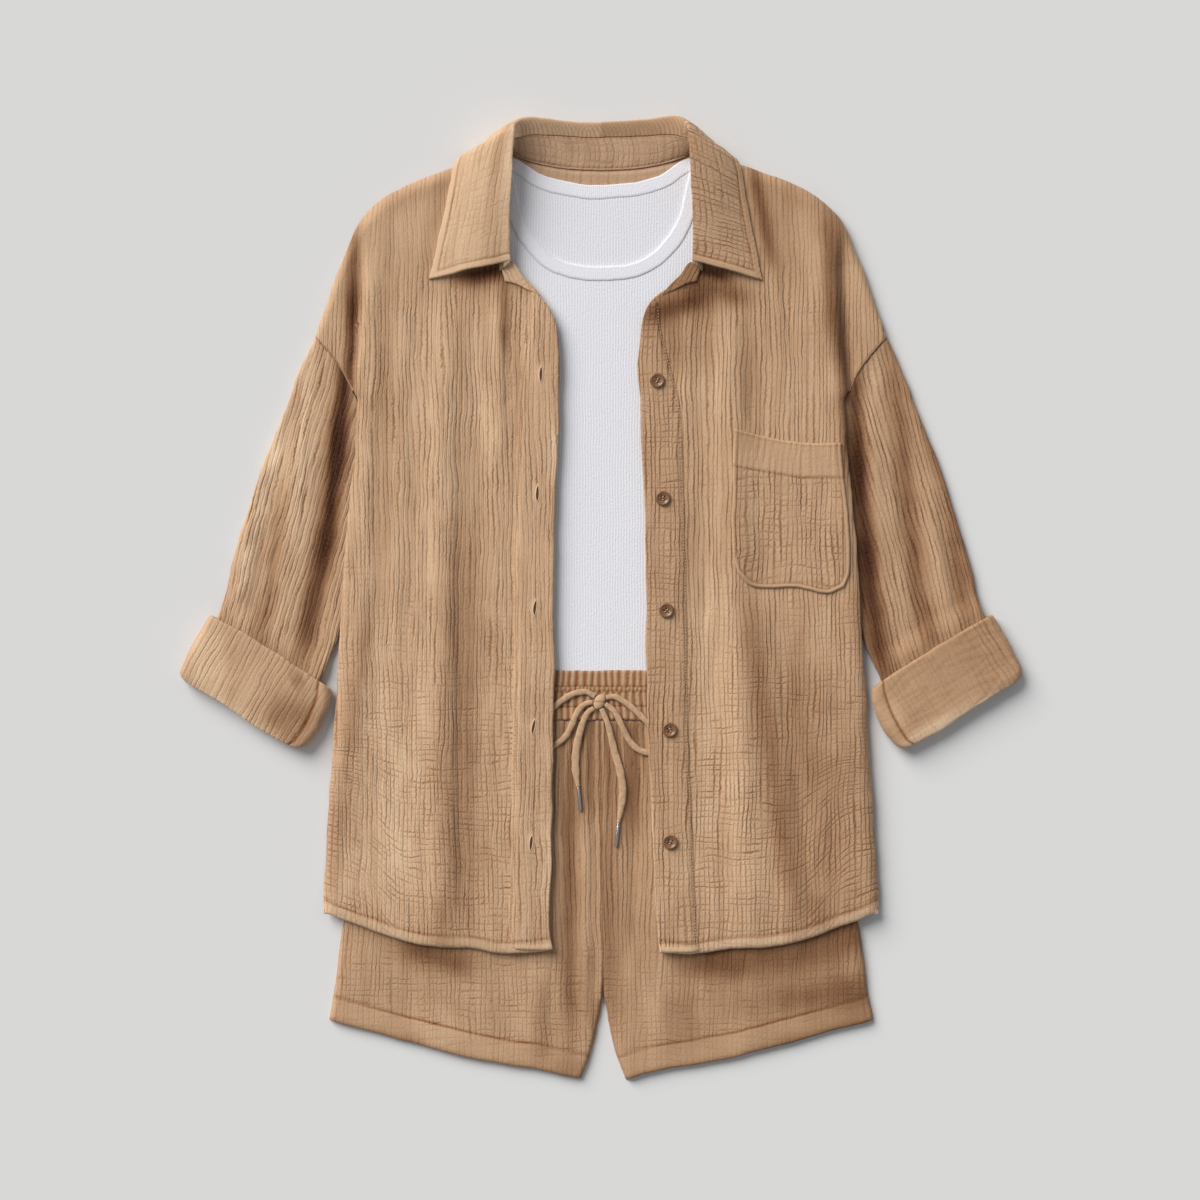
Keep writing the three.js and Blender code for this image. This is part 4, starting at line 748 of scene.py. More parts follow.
def creases(tree, name, uv, along_v, length, width, seed):
    """The creases of one direction, from their phase: a thin line on each whole number, a faint one
    between, each broken along its length, and a soft valley. Returns the lines and the valley."""
    stray = mottle_of(tree, 330.0, 1.0, Vector=uv)
    phase = maths(tree, "MULTIPLY_ADD", stray, 0.42, attribute(tree, name + "s"))
    power = attribute(tree, name + "_power")
    along = node(tree, "SeparateXYZ", {0: uv}).outputs[along_v]
    place = node(tree, "CombineXYZ", {0: times(tree, phase, 0.9), 1: times(tree, along, 1 / (length * MM)),
                                      2: seed}).outputs[0]
    broken = mottle_of(tree, 1.0, 2.0, Vector=place, Roughness=0.55)
    kept = times(tree, ramp(tree, broken, 0.3, 0.62), power)
    angle = times(tree, phase, math.pi)
    off, off_half = (maths(tree, "ABSOLUTE", maths(tree, kind, angle)) for kind in ("SINE", "COSINE"))
    line = times(tree, ramp(tree, off, width, 0.0), kept)
    faint = times(tree, ramp(tree, off_half, 0.8 * width, 0.0),
                  times(tree, ramp(tree, broken, 0.62, 0.42), times(tree, power, 0.45)))
    return maths(tree, "MAXIMUM", line, faint), times(tree, ramp(tree, off, 1.0, 0.1), power)


def cloth_material(name, base, deep, weave=1.0, warp=0.95, weft=1.05, mottle=0.07, sheen=0.2, creased=False,
                   warmth=1.0):
    """Woven cotton: painted shade deepens the colour in the creases, and the threads show as a fine relief.
    """
    made, tree, shader = new_material(name, 0.92, Sheen_Weight=sheen, Sheen_Roughness=0.45,
                                      Specular_IOR_Level=0.18)
    uv = node(tree, "UVMap", uv_map="grain").outputs[0]
    woven = times(tree, threads(tree, uv, "X", warp, 1.3), threads(tree, uv, "Y", weft, 2.1))
    slub = mottle_of(tree, 420.0, 3.0, Vector=uv, Roughness=0.65)
    cloud = mottle_of(tree, 30.0, 3.0, Vector=uv)
    valley = attribute(tree, "valley")
    if creased:
        ribs, rib_valley = creases(tree, "rib", uv, along_v=1, length=34, width=0.78, seed=5.0)
        wefts, weft_valley = creases(tree, "weft", uv, along_v=0, length=16, width=0.72, seed=9.0)
        lines = maths(tree, "MAXIMUM", ribs, times(tree, wefts, 0.8))
        soft = maths(tree, "MAXIMUM", rib_valley, weft_valley)
        crease_shade = maths(tree, "MULTIPLY_ADD", lines, LINE_SHADE, times(tree, soft, VALLEY_SHADE))
        valley = maths(tree, "ADD", valley, crease_shade, clamp=True)
    light = maths(tree, "ADD", 1.0, attribute(tree, "tone_and_shade"))
    clouds = (slub, 0.5, 2.2 * mottle), (cloud, 0.5, 1.4 * mottle), (woven, 0.25, 0.08 * weave)
    for fac, middle, share in clouds:
        light = maths(tree, "MULTIPLY_ADD", maths(tree, "SUBTRACT", fac, middle), share, light)
    green, blue = (maths(tree, "POWER", light, 1 + warmth * k) for k in (0.3, 0.55))  # shade is warmer
    grey = node(tree, "CombineColor", {"Red": light, "Green": green, "Blue": blue}).outputs[0]
    # painted shade: the colour goes to the shade colour in the creases' lines and valleys
    colour = mixed(tree, valley, linear(base), linear(deep))
    tree.links.new(mixed(tree, 1.0, colour, grey, "MULTIPLY"), shader.inputs["Base Color"])
    normal = bump(tree, 0.8, 0.5, slub, bump(tree, 0.5 * weave, 0.25, woven))
    if creased:
        height = maths(tree, "MULTIPLY_ADD", soft, 0.55, lines)
        normal = bump(tree, 0.9, CREASE_BUMP, height, normal, invert=True)
    tree.links.new(normal, shader.inputs["Normal"])
    return made


def plain_material(name, roughness, light, dark, cloud, grit=None, in_place=True, **settings):
    """A material whose colour wanders between two, and whose surface may have a fine grit: the scale, the
    detail and the strength of it. The cloud is a scale, a detail and a distortion."""
    made, tree, shader = new_material(name, roughness, **settings)
    at = {"Vector": node(tree, "TexCoord").outputs["Object"]} if in_place else {}
    wander_share = mottle_of(tree, cloud[0], cloud[1], Distortion=cloud[2], **at)
    tree.links.new(mixed(tree, wander_share, linear(light), linear(dark)), shader.inputs["Base Color"])
    if grit:
        grains = mottle_of(tree, grit[0], grit[1], **at)
        tree.links.new(bump(tree, grit[2], 0.1, grains), shader.inputs["Normal"])
    return made


LINE_SHADE, VALLEY_SHADE = 0.5, 0.26  # how far painted shade takes the creases' lines and valleys to the shade colour
CREASE_BUMP = 0.62  # mm
gauze = cloth_material("crinkle_gauze", (207, 172, 138), (134, 76, 26), mottle=0.12, creased=True)
# a darker copy of the gauze: painted shade for the back, the collar stand and the neck's piping, which lie
# under the rest
gauze_in_shade = cloth_material("gauze_painted_shade", (194, 159, 129), (130, 80, 36), mottle=0.1, creased=True)
thread = cloth_material("sewing_thread", (214, 180, 144), (150, 112, 80), weave=0.3)
jersey = cloth_material("ribbed_jersey", (236, 236, 241), (196, 197, 206), weave=0.6, warp=0.7, weft=0.8,
                        mottle=0.015, sheen=0.1, warmth=0.0)
string = cloth_material("soft_tape", (204, 168, 134), (132, 96, 68), weave=0.8, warp=0.8, weft=0.8,
                        mottle=0.1)

horn = plain_material("horn_button", 0.38, (150, 108, 72), (98, 66, 42), cloud=(240.0, 5.0, 1.4),
                      grit=(900.0, 2.0, 0.2), Coat_Weight=0.25, Coat_Roughness=0.2)
metal = plain_material("metal_tip", 0.24, (225, 225, 228), (180, 180, 186), cloud=(700.0, 3.0, 0.0),
                       grit=(700.0, 3.0, 0.15), Metallic=1.0)
# painted shadow for the buttonholes' slits
slit_shadow = plain_material("hole_shadow", 0.95, (66, 42, 28), (92, 62, 42), cloud=(600.0, 2.0, 0.0),
                           in_place=False)
paper = plain_material("studio_floor", 0.9, (220, 220, 220), (224, 224, 224), cloud=(3.0, 2.0, 0.0),
                       in_place=False)

bpy.ops.mesh.primitive_plane_add(size=12, location=(0, 0, -0.0004))
floor = bpy.context.object
floor.name = "floor"
floor.data.materials.append(paper)


# ---------------------------------------------------------------- drawstring
ON_WAIST = TOP["waistband"] + 0.35  # the underside of what lies on the waistband


def shorts_top(x, y):
    x, y = np.asarray(x, float), np.asarray(y, float)
    sides = [shorts_front_height(side, abs(x), y) for side in SIDES]
    return np.where(y > WAIST["bottom"] - 1, ON_WAIST, np.where(x < 0, *sides))


def cord_height(x, y):
    """The height of the tape's middle, which passes in one go over what lies near below it."""
    return max(float(shorts_top(x, y + d)) for d in (-12, -6, 0, 6, 12)) + CORD_THICK / 2 + 1.5 * LIFT


def beside_knot(degrees):
    """Where a tape leaves the knot in a direction."""
    along = math.radians(degrees - KNOT["turn"])
    reach = 1 / math.hypot(math.cos(along) / KNOT["long"], math.sin(along) / KNOT["across"]) + KNOT["clear"]
    angle = math.radians(degrees)
    return KNOT["x"] + reach * math.cos(angle), KNOT["y"] + reach * math.sin(angle)


def spline(points):
    """Points at even steps along a smooth curve through the given ones."""
    step = 1.6
    p = np.asarray(points, float)
    at = np.concatenate([[0], np.cumsum(np.linalg.norm(np.diff(p, axis=0), axis=1) ** 0.5)])
    line = hermite(p, at, np.gradient(p, at, axis=0), np.linspace(0, at[-1], 600))
    run = run_of(line)
    even = np.linspace(0, run[-1], max(6, int(run[-1] / step)) + 1)
    return np.stack([np.interp(even, run, line[:, c]) for c in range(3)], 1)


def tube(name, line, width, thick, material, nodes, seed, sides=14, tone_and_shade=0.0):
    """A soft flat tape along a line: width and thick are given along it."""
    tangent = np.gradient(line, axis=0)
    tangent /= np.linalg.norm(tangent, axis=1, keepdims=True)
    across = np.cross(tangent, [0, 0, 1.0])
    across /= np.linalg.norm(across, axis=1, keepdims=True)
    rise = np.cross(across, tangent)
    run = run_of(line)[:, None]
    turn = np.linspace(0, 2 * np.pi, sides, endpoint=False)
    squeeze = 1 + 0.05 * np.sin(run / 2.3 + 2 * turn + seed) + 0.05 * noise(run / 7, turn + 9, seed)
    a, b = np.cos(turn) * squeeze, np.sin(turn) * squeeze
    b = np.sign(b) * np.abs(b) ** 0.8
    rings = (line[:, None] + across[:, None] * (a * width[:, None] / 2)[..., None]
             + rise[:, None] * (b * thick[:, None] / 2)[..., None])
    points, faces = capped(rings)
    crease = clip01(0.35 + 0.6 * noise(run / 3.2, 2 * turn / np.pi + 3, seed + 1)) * 0.5
    grain = np.stack(np.broadcast_arrays(turn * 1.6, run), -1)
    fields = {"valley": crease.ravel(), "tone_and_shade": np.full(len(points), tone_and_shade)}
    mesh = make_mesh(name, points, faces, fields, grain.reshape(-1, 2))
    return place_piece(name, mesh, material, nodes)


def tip_end(x, y):
    """The middle of a tip's end, with the tip as low as its tape."""
    return np.array([x, y, cord_height(x, y) - CORD_THICK / 2 + TIP_RADIUS])


def metal_tip(side):
    """The tip on a free end, a round rod with two grooves and a rounded end."""
    run_name, tip = TIPS[side]
    start, stop = tip_end(*CORD_RUNS[run_name][2][-1]), tip_end(*tip)
    length = np.linalg.norm(stop - start)
    at = np.concatenate([[0.4, 0.6, 1.2, 1.6, 2.2], length - np.array([2.4, 1.6, 0.9, 0.4, 0.15])])
    wide = 2 * TIP_RADIUS * np.array([0.8, 1, 1, 0.88, 1, 1, 0.94, 0.86, 0.6, 0.3])
    line = start + (stop - start) / length * at[:, None]
    return tube("tip_" + side, line, wide, wide, metal, ["aglet_" + side], 3, 18)


def tape(index, run_name):
    """A run of the drawstring, from the knot back to it or to a tip. Returns its length."""
    leaves, returns, route = CORD_RUNS[run_name]
    rows = [beside_knot(leaves), *route] + ([beside_knot(returns)] if returns else [])
    line = spline([(x, y, cord_height(x, y)) for x, y in rows])
    t = np.linspace(0, 1, len(line))
    if returns:
        width = CORD_WIDTH * (1 - 0.25 * np.exp(-t / 0.06) - 0.25 * np.exp(-(1 - t) / 0.06))
    else:
        width = CORD_WIDTH * (0.84 + 0.4 * smooth(t / 0.55) - 0.62 * smooth((t - 0.78) / 0.22))
    thick = CORD_THICK * (1 - 0.08 * np.sin(9 * t + index))
    name = "drawstring_" + run_name
    piece = tube(name + "_tape", line, width, thick, string, [name], 20 + index)
    length = float(run_of(line)[-1])
    return length


def knot():
    """A ball of tape with the wrap's grooves across it."""
    u, v = np.meshgrid(np.linspace(0, 2 * np.pi, 48, endpoint=False), np.linspace(0.04, np.pi - 0.04, 30))
    grooves = 1 - 0.10 * np.exp(-(np.sin(3.0 * np.cos(v) + 0.8 * np.cos(u)) / 0.35) ** 2) * np.sin(v)
    ball = np.stack([KNOT["long"] * np.cos(v), KNOT["across"] * np.sin(v) * np.cos(u) * grooves,
                     KNOT["high"] / 2 * np.sin(v) * np.sin(u) * grooves], -1)
    turn = math.radians(KNOT["turn"])
    ball = np.stack([ball[..., 0] * math.cos(turn) - ball[..., 1] * math.sin(turn) + KNOT["x"],
                     ball[..., 0] * math.sin(turn) + ball[..., 1] * math.cos(turn) + KNOT["y"],
                     ball[..., 2] + ON_WAIST + KNOT["high"] / 2], -1)
    points, faces = capped(ball)
    # painted shade in the wrap's grooves
    fields = {"valley": (1 - grooves.ravel()) * 6, "tone_and_shade": np.zeros(len(points))}
    mesh = make_mesh("knot", points, faces, fields, points[:, :2])
    place_piece("drawstring_wrap", mesh, string, ["drawstring_knot"])


tip_pieces = {side: metal_tip(side) for side in TIPS}
cord_lengths = {run_name: tape(index, run_name) for index, run_name in enumerate(CORD_RUNS)}
knot()


# ---------------------------------------------------------------- shirt
def steps(count):
    """Even shares from 0 to 1, with a whole number of strides between them."""
    return np.linspace(0, 1, max(STRIDE, int(round(count / STRIDE)) * STRIDE) + 1)


def grid_of(columns, rows):
    """u and v of an even grid whose cells can be walled."""
    return np.meshgrid(steps(columns), steps(rows))


def on_side(side, x, y, z):
    """Points of the side with +X, put on the wearer's right or left."""
    return np.stack([SIDES[side] * x, y, z], -1)


def laid_row(side, line, height, lift):
    """A line of x and y laid on a face."""
    x, y = xy(line)
    return on_side(side, x, y, height(side, x, y) + lift)


def grain_of(x, y, turn=0.0, origin=(0, 0)):
    """Where a point is across and along the cloth's ribs, which may be turned about an origin."""
    a = math.radians(turn)
    x, y = x - origin[0], y - origin[1]
    return np.stack([x * math.cos(a) + y * math.sin(a), y * math.cos(a) - x * math.sin(a)], -1)


def hem_relief(x, y, line, inset, seed):
    """A turned-up hem: a sewn groove, and small puckers from it to the edge. Returns how deep it is, how dark
    its painted shade is, and how far the points are from the edge."""
    pitch, depth = 5.4, 0.55
    away, along = along_line(x, y, line)
    groove = bump_at(away, inset, 1.3)
    pucker = wave(2 * np.pi * along / pitch + 2.2 * noise(along / 14, away / 40, seed))
    uneven = 0.6 + 0.4 * noise(along / 20, away / 9, seed + 1)
    pucker *= smooth((inset + 5 - away) / 6) * smooth(away / 3) * uneven
    return depth * (0.8 * groove + 0.55 * pucker), 0.5 * groove + 0.35 * pucker ** 3, away


def front_weft(side, x, y):
    """How strong the creases across the ribs are."""
    low = smooth((110 - y) / 330)
    inner = smooth((110 - x) / 40) * 0.2
    return np.clip(0.16 + 0.72 * low + inner + 0.25 * noise(x / 60, y / 60, 400 + SIDES[side]), 0.05, 1.0)


# painted shade: how much darker each front is, as the light falls on it
FRONT_SIDE_SHADE = {"right": -0.01, "left": -0.075}
# how much brighter the hem's edge is, on the front and on its band
HEM_LIGHT = {"right": (0.06, 0.06), "left": (0.26, 0.2)}
SHIRT_HEM_DEPTH, POCKET_HEM_DEPTH = 12, 34.5
BAND_STITCHES = (2.6, BAND_WIDTH - 2.5)
stitch_lines = {"shirt": [], "shorts": []}


def shirt_hem(side):
    """The hem's line, from the side seam to the opening."""
    return flat(SHIRT_HEM) + [OPENING[side][0]]


def at_shirt_hem(y):
    """1 at the hem, 0 well above it, where the opening's end would count as hem too."""
    return smooth((-250 - y) / 20)


def with_hem_light(tone_and_shade, y, away, light):
    """The tone with the light that the hem's edge catches."""
    return (1 + tone_and_shade) * (1 + light * at_shirt_hem(y) * smooth((11 - away) / 4)) - 1


def shirt_front(side, seed):
    """A front from the hem to the shoulder, with the body's turn down to the sleeve."""
    outline = patch(
        curve(shirt_hem(side)),
        curve(flat(SHOULDER_EDGE)[4:]),
        joined(joined(curve(flat(SIDE_EDGE)), curve(moved(ARMHOLE, 0, SEAM)), 0.9),
               curve(flat(SHOULDER_EDGE)[:5]), 0.8),
        joined(curve(OPENING[side]), curve(NECKLINE[::-1]), 0.8))
    x, y = xy(outline(*grid_of(204, 376)))
    slant = 0.18 * smooth((x - 190) / 60) * smooth((-100 - y) / 120) + 0.05 * smooth((-100 - y) / 200)
    relief = Relief(x, y - slant * x, seed, ribs=mix(1.0, 0.85, side == "left"), wefts=front_weft(side, x, y))
    hem, hem_shade, away = hem_relief(x, y, drawn(shirt_hem(side), 80), SHIRT_HEM_DEPTH, seed + 40)
    shoulder = 1 - 0.45 * smooth((y - 285 - 0.35 * (190 - x)) / 70)
    relief.calm(shoulder * mix(0.35, 1, smooth((away - 9) / 5)))
    relief.press(hem * at_shirt_hem(y), hem_shade * at_shirt_hem(y))
    # painted light on the folds' ridges and painted shade in their troughs, then the shade table
    tone_and_shade = FRONT_SIDE_SHADE[side] + 0.04 * np.clip(fold_height(FRONT_FOLDS[side], x, y), -2.5, 2.5)
    tone_and_shade = shaded(tone_and_shade + 0.03 * noise(x / 30, y / 170, seed + 30), FRONT_SHADES[side], x, y)
    cloth("gauze_front_" + side, on_side(side, x, y, front_height(side, x, y)), GAUZE, relief, gauze,
          ["shirt_front_" + side], grain_of(x, y), tone_and_shade=with_hem_light(tone_and_shade, y, away, HEM_LIGHT[side][0]),
          radius=1.0)


def front_band(side, seed):
    """The front's own edge doubled, lying on it."""
    edge = OPENING[side][:-2]
    last = len(edge) - 1
    inner_line = curve(edge)
    outer_line = curve([(ex + mix(8, BAND_WIDTH, min(1, (last - i) / 4)), ey + 3 * (i == last))
                        for i, (ex, ey) in enumerate(edge)])
    u, v = grid_of(32, 300)
    x, y = xy(mix(inner_line(v), outer_line(v), u[..., None]))
    in_band = u * BAND_WIDTH
    z = front_height(side, x, y) + mix(0.5, BAND_RAISE, smooth((BAND_WIDTH - in_band) / 8))
    relief = Relief(x, y, seed, ribs=0.95, wefts=0.7 if side == "left" else 0.5 * front_weft(side, x, y))
    hem, hem_shade, away = hem_relief(x, y, drawn(shirt_hem(side), 80), SHIRT_HEM_DEPTH, seed + 10)
    groove = sum(share * bump_at(in_band, at, 0.9) for share, at in zip((0.25, 0.4), BAND_STITCHES))
    relief.calm(smooth((away - 4) / 5))
    relief.press(groove + 0.8 * hem * at_shirt_hem(y), 0.7 * groove + hem_shade * at_shirt_hem(y))
    for hx, hy, _ in BUTTONHOLES if side == "right" else ():
        relief.calm(1 - np.exp(-(((x - hx) / 4.5) ** 2 + ((y - hy) / 9.5) ** 2) ** 2))
    # the right band a little lighter: painted light
    tone_and_shade = FRONT_SIDE_SHADE[side] + 0.03 * (side == "right") + 0.02 * noise(x / 20, y / 60, seed + 11)
    tone_and_shade = with_hem_light(shaded(tone_and_shade, FRONT_SHADES[side], x, y), y, away, HEM_LIGHT[side][1])
    node_name = "button_band" if side == "left" else "buttonhole_band"
    cloth("gauze_" + node_name, on_side(side, x, y, z), GAUZE, relief, gauze, [node_name], grain_of(x, y),
          tone_and_shade=tone_and_shade, radius=1.3)
    t = np.linspace(0.01, 0.99, 420)
    for at in BAND_STITCHES:
        row = mix(inner_line(t), outer_line(t), at / BAND_WIDTH)
        stitch_lines["shirt"].append(laid_row(side, row, front_height, BAND_RAISE - 0.5))
    hem_row = drawn(moved(SHIRT_HEM, -2, SHIRT_HEM_DEPTH), 300, 0.01, 0.78)
    stitch_lines["shirt"].append(laid_row(side, hem_row, front_height, -0.75))


def chest_pocket():
    """The pocket, with a turned top."""
    outline = patch(curve(POCKET_BOTTOM), curve(POCKET_TOP), curve(POCKET_INNER), curve(POCKET_OUTER))
    x, y = xy(outline(*grid_of(76, 104)))
    z = front_height("left", x, y) + POCKET_RAISE
    sewn_edge = np.concatenate([drawn(rows, count) for rows, count in
                                ((POCKET_INNER[::-1], 50), (POCKET_BOTTOM, 40), (POCKET_OUTER, 50))])
    from_edge, _ = along_line(x, y, sewn_edge)
    from_top, top_run = along_line(x, y, drawn(POCKET_TOP, 40))
    relief = Relief(x, y - 0.04 * x, SEED + 300, wefts=0.7, pitch=5.4)
    hem_zone = smooth((POCKET_HEM_DEPTH + 1.5 - from_top) / 5)
    groove = (0.45 * bump_at(from_edge, 4.2, 0.9) + 0.45 * bump_at(from_top, POCKET_HEM_DEPTH, 1.0)
              + 0.2 * bump_at(from_top, 3.2, 1.2))
    pucker = hem_zone * wave(2 * np.pi * top_run / 6.4 + 2 * noise(top_run / 16, from_top / 50, 77))
    relief.calm(mix(1, 0.25, hem_zone) * smooth((from_edge - 2) / 4))
    relief.press(groove + 0.2 * pucker, groove + 0.2 * pucker ** 2)
    tone_and_shade = shaded(FRONT_SIDE_SHADE["left"] + 0.03 * hem_zone, FRONT_SHADES["left"], x, y)
    cloth("gauze_chest_pocket", on_side("left", x, y, z), GAUZE, relief, gauze, ["chest_pocket"],
          grain_of(x, y), tone_and_shade=tone_and_shade, radius=1.3)
    hem_row = drawn(moved(POCKET_TOP, 0, -POCKET_HEM_DEPTH), 160, 0.01, 0.98)
    stitch_lines["shirt"].append(laid_row("left", hem_row, front_height, POCKET_RAISE - 0.5))


def shirt_back():
    """The back, one piece over both sides."""
    half = patch(curve(BACK_HEM), joined(curve(flat(SHOULDER_EDGE)), curve(BACK_NECK), 0.65),
                 curve(BACK_SIDE), curve([BACK_HEM[-1], BACK_NECK[-1]]))
    u, v = grid_of(160, 132)
    x, y = xy(half(np.where(u < 0.5, 2 * u, 2 * (1 - u)), v))
    x = np.where(u < 0.5, -x, x)
    neck_line = drawn([(-nx, ny) for nx, ny in BACK_NECK] + BACK_NECK[-2::-1], 80)
    z = back_height(y) + 1.4 * bump_at(along_line(x, y, neck_line)[0], 0, 9)
    relief = Relief(x, y, SEED + 500, depth=0.5, wefts=0.5, pitch=9)
    relief.calm(1 - 0.75 * smooth((y - 400) / 20))
    cloth("gauze_back", np.stack([x, y, z], -1), GAUZE, relief, gauze_in_shade, ["shirt_back"], grain_of(x, y),
          radius=0.6)


for side in SIDES:
    shirt_seed = SEED + (100 if side == "left" else 0)
    shirt_front(side, shirt_seed)
    front_band(side, shirt_seed + 50)
chest_pocket()
shirt_back()


# ---------------------------------------------------------------- collar
def through(rows, t):
    """A smooth curve through rows (count, ...) at equal steps of t, which may be an array."""
    at = clip01(t) * (len(rows) - 1)
    i = np.minimum(np.floor(at).astype(int), len(rows) - 2)
    k = (at - i).reshape(at.shape + (1,) * (rows.ndim - 1))
    p0, p1, p2, p3 = (rows[np.clip(i + d, 0, len(rows) - 1)] for d in (-1, 0, 1, 2))
    return 0.5 * (2 * p1 + (p2 - p0) * k + (2 * p0 - 5 * p1 + 4 * p2 - p3) * k ** 2
                  + (3 * p1 - p0 - 3 * p2 + p3) * k ** 3)


def collar_grid(first, last, gap, columns, rows):
    """The collar's face between two of its sections' points, as a grid, with how far round it is."""
    us, vs = steps(columns), steps(rows)
    t = np.where(us < 0.5, 2 * us, 2 * (1 - us))
    sections = through(COLLAR_SECTIONS, t)
    wide = np.where(us < 0.5, FALL_WIDTH["right"], FALL_WIDTH["left"])[:, None]
    sections[:, 3:, 0] = mix(sections[:, 2:3, 0], sections[:, 3:, 0], wide)
    part = sections[:, first:last + 1]
    length = np.linalg.norm(part[:, 1] - part[:, 0], axis=1, keepdims=True)
    part[:, 0] = mix(part[:, 0], part[:, 1], gap / length)
    if part.shape[1] == 2:
        part = np.stack([part[:, 0], (part[:, 0] + part[:, 1]) / 2, part[:, 1]], 1)
    grid = np.stack([through(section, vs) for section in part], 1)
    grid[..., 0] *= np.where(us < 0.5, -1, 1)
    grid[..., 2] = np.maximum(grid[..., 2], 0.1)
    return grid, us, t


# the edges of the stand's ends, which show below the leaves along the neckline
STAND_END = dict(
    end=[(96.7, 317.2), (100.5, 333)], tip=[(60, 302.6), (62.5, 306.5)],
    low=[(96.7, 317.2), (84, 314.2), (73.3, 308.8), (60, 302.6)],
    high=[(100.5, 333), (88.5, 336), (79.5, 324), (69.5, 314), (62.5, 306.5)])


def collar_stand(stand_grid):
    """The stand, round the neck."""
    around, up_run = run_along(stand_grid, 1), run_along(stand_grid, 0)
    low_seam, top_seam = bump_at(up_run, 1.6, 0.9), bump_at(up_run[-1] - up_run, 1.2, 0.9)
    relief = Relief(around, up_run, SEED + 600, depth=0.4, ribs=0.5, wefts=0.45, pitch=5.6)
    relief.press(0.4 * low_seam + 0.3 * top_seam, 0.45 * low_seam + 0.4 * top_seam)
    cloth("gauze_collar_stand", stand_grid, COLLAR_WALL, relief, gauze_in_shade, ["collar_stand"],
          np.stack([around, up_run], -1), radius=0.7)


def stand_end(side):
    """An end of the stand, folded down onto the front."""
    u, v = grid_of(24, 40)
    x, y = xy(patch(*(curve(STAND_END[key]) for key in ("end", "tip", "low", "high")))(u, v))
    z = TOP["front_neck"] + 0.8 + 1.6 * smooth(1.4 * (1 - v))
    relief = Relief(0.85 * x - 0.5 * y, 0.5 * x + 0.85 * y, SEED + 145, depth=0.5, ribs=0.7, wefts=0.4)
    # painted shadow under the leaf darkens the left end; the right end is a little lighter, as painted light
    cloth("gauze_stand_end_" + side, on_side(side, x, y, z), GAUZE, relief, gauze, [], grain_of(x, y, 30),
          tone_and_shade=0.05 if side == "right" else -0.5, radius=0.9)


def neck_piping(stand_grid):
    """The seam round the neck, under the stand."""
    line = stand_grid[0] + np.array([0, 0, -0.3])
    tube("neck_seam_piping", line, np.full(len(line), 2.0), np.full(len(line), 1.6), gauze_in_shade, [], 7,
         10)


def collar_leaves():
    """The collar from the stand over the fold to the leaves' edges."""
    collar_points, us, t = collar_grid(1, 5, 0.1, 312, 92)
    around, down = run_along(collar_points, 1), run_along(collar_points, 0)
    to_edge = down[-1] - down
    to_end = np.minimum(around, around[:, -1:] - around)
    on_left = (us > 0.5)[None, :] * np.ones_like(down)
    # The left leaf has strong ribs from the fold, and cells towards the edge
    from_fold = around[:1] + 0 * down
    relief = Relief(down + 0.12 * around, around, SEED + 750, depth=0.4, ribs=0.5, wefts=0.35, pitch=6.5)
    relief.blend(Relief(from_fold, down, SEED + 700, depth=0.8, ribs=0.75, wefts=0.85, pitch=5.2), on_left)
    stitched = np.minimum(to_edge, to_end)
    margin = smooth((8.5 - stitched) / 2.5)
    twist = wave(2 * np.pi * (around + 1.2 * to_edge) / 5.2) * smooth((7 - to_edge) / 2) * on_left
    groove = bump_at(stitched, 7.6, 1.0)
    behind = smooth((t - 0.62) / 0.06)[None, :]
    pleats = behind * wave(2 * np.pi * around / 4.4 + 2 * noise(around / 18, down / 30, 5))
    relief.calm(mix(1, 0.15, margin) * (1 - behind))
    relief.press(0.5 * groove + 0.3 * twist + 0.45 * pleats, 0.6 * groove + 0.3 * twist + 0.45 * pleats)
    collar_grain = np.where(on_left[..., None] > 0, np.stack([from_fold, down], -1),
                            np.stack([down, around], -1))
    fold, beyond_fold = bump_at(down, 3, 11) * (1 - behind), bump_at(down, 24, 9) * (1 - behind)
    # painted light: the right leaf lighter, with a highlight along its fold; painted shade: the left leaf
    # darker, and the right leaf beyond its fold; the stitched margin a little lighter
    tone_and_shade = mix(0.1, -0.1, on_left) + 0.03 * margin + mix(0.26, -0.06, on_left) * fold
    tone_and_shade = tone_and_shade - mix(0.14, 0.0, on_left) * beyond_fold
    cloth("gauze_collar", collar_points, COLLAR_WALL, relief, gauze, ["collar"], collar_grain, tone_and_shade=tone_and_shade,
          radius=1.1, up=False)


stand_rows, _, _ = collar_grid(0, 1, 0, 300, 20)
collar_stand(stand_rows)
for side in SIDES:
    stand_end(side)
neck_piping(stand_rows)
collar_leaves()


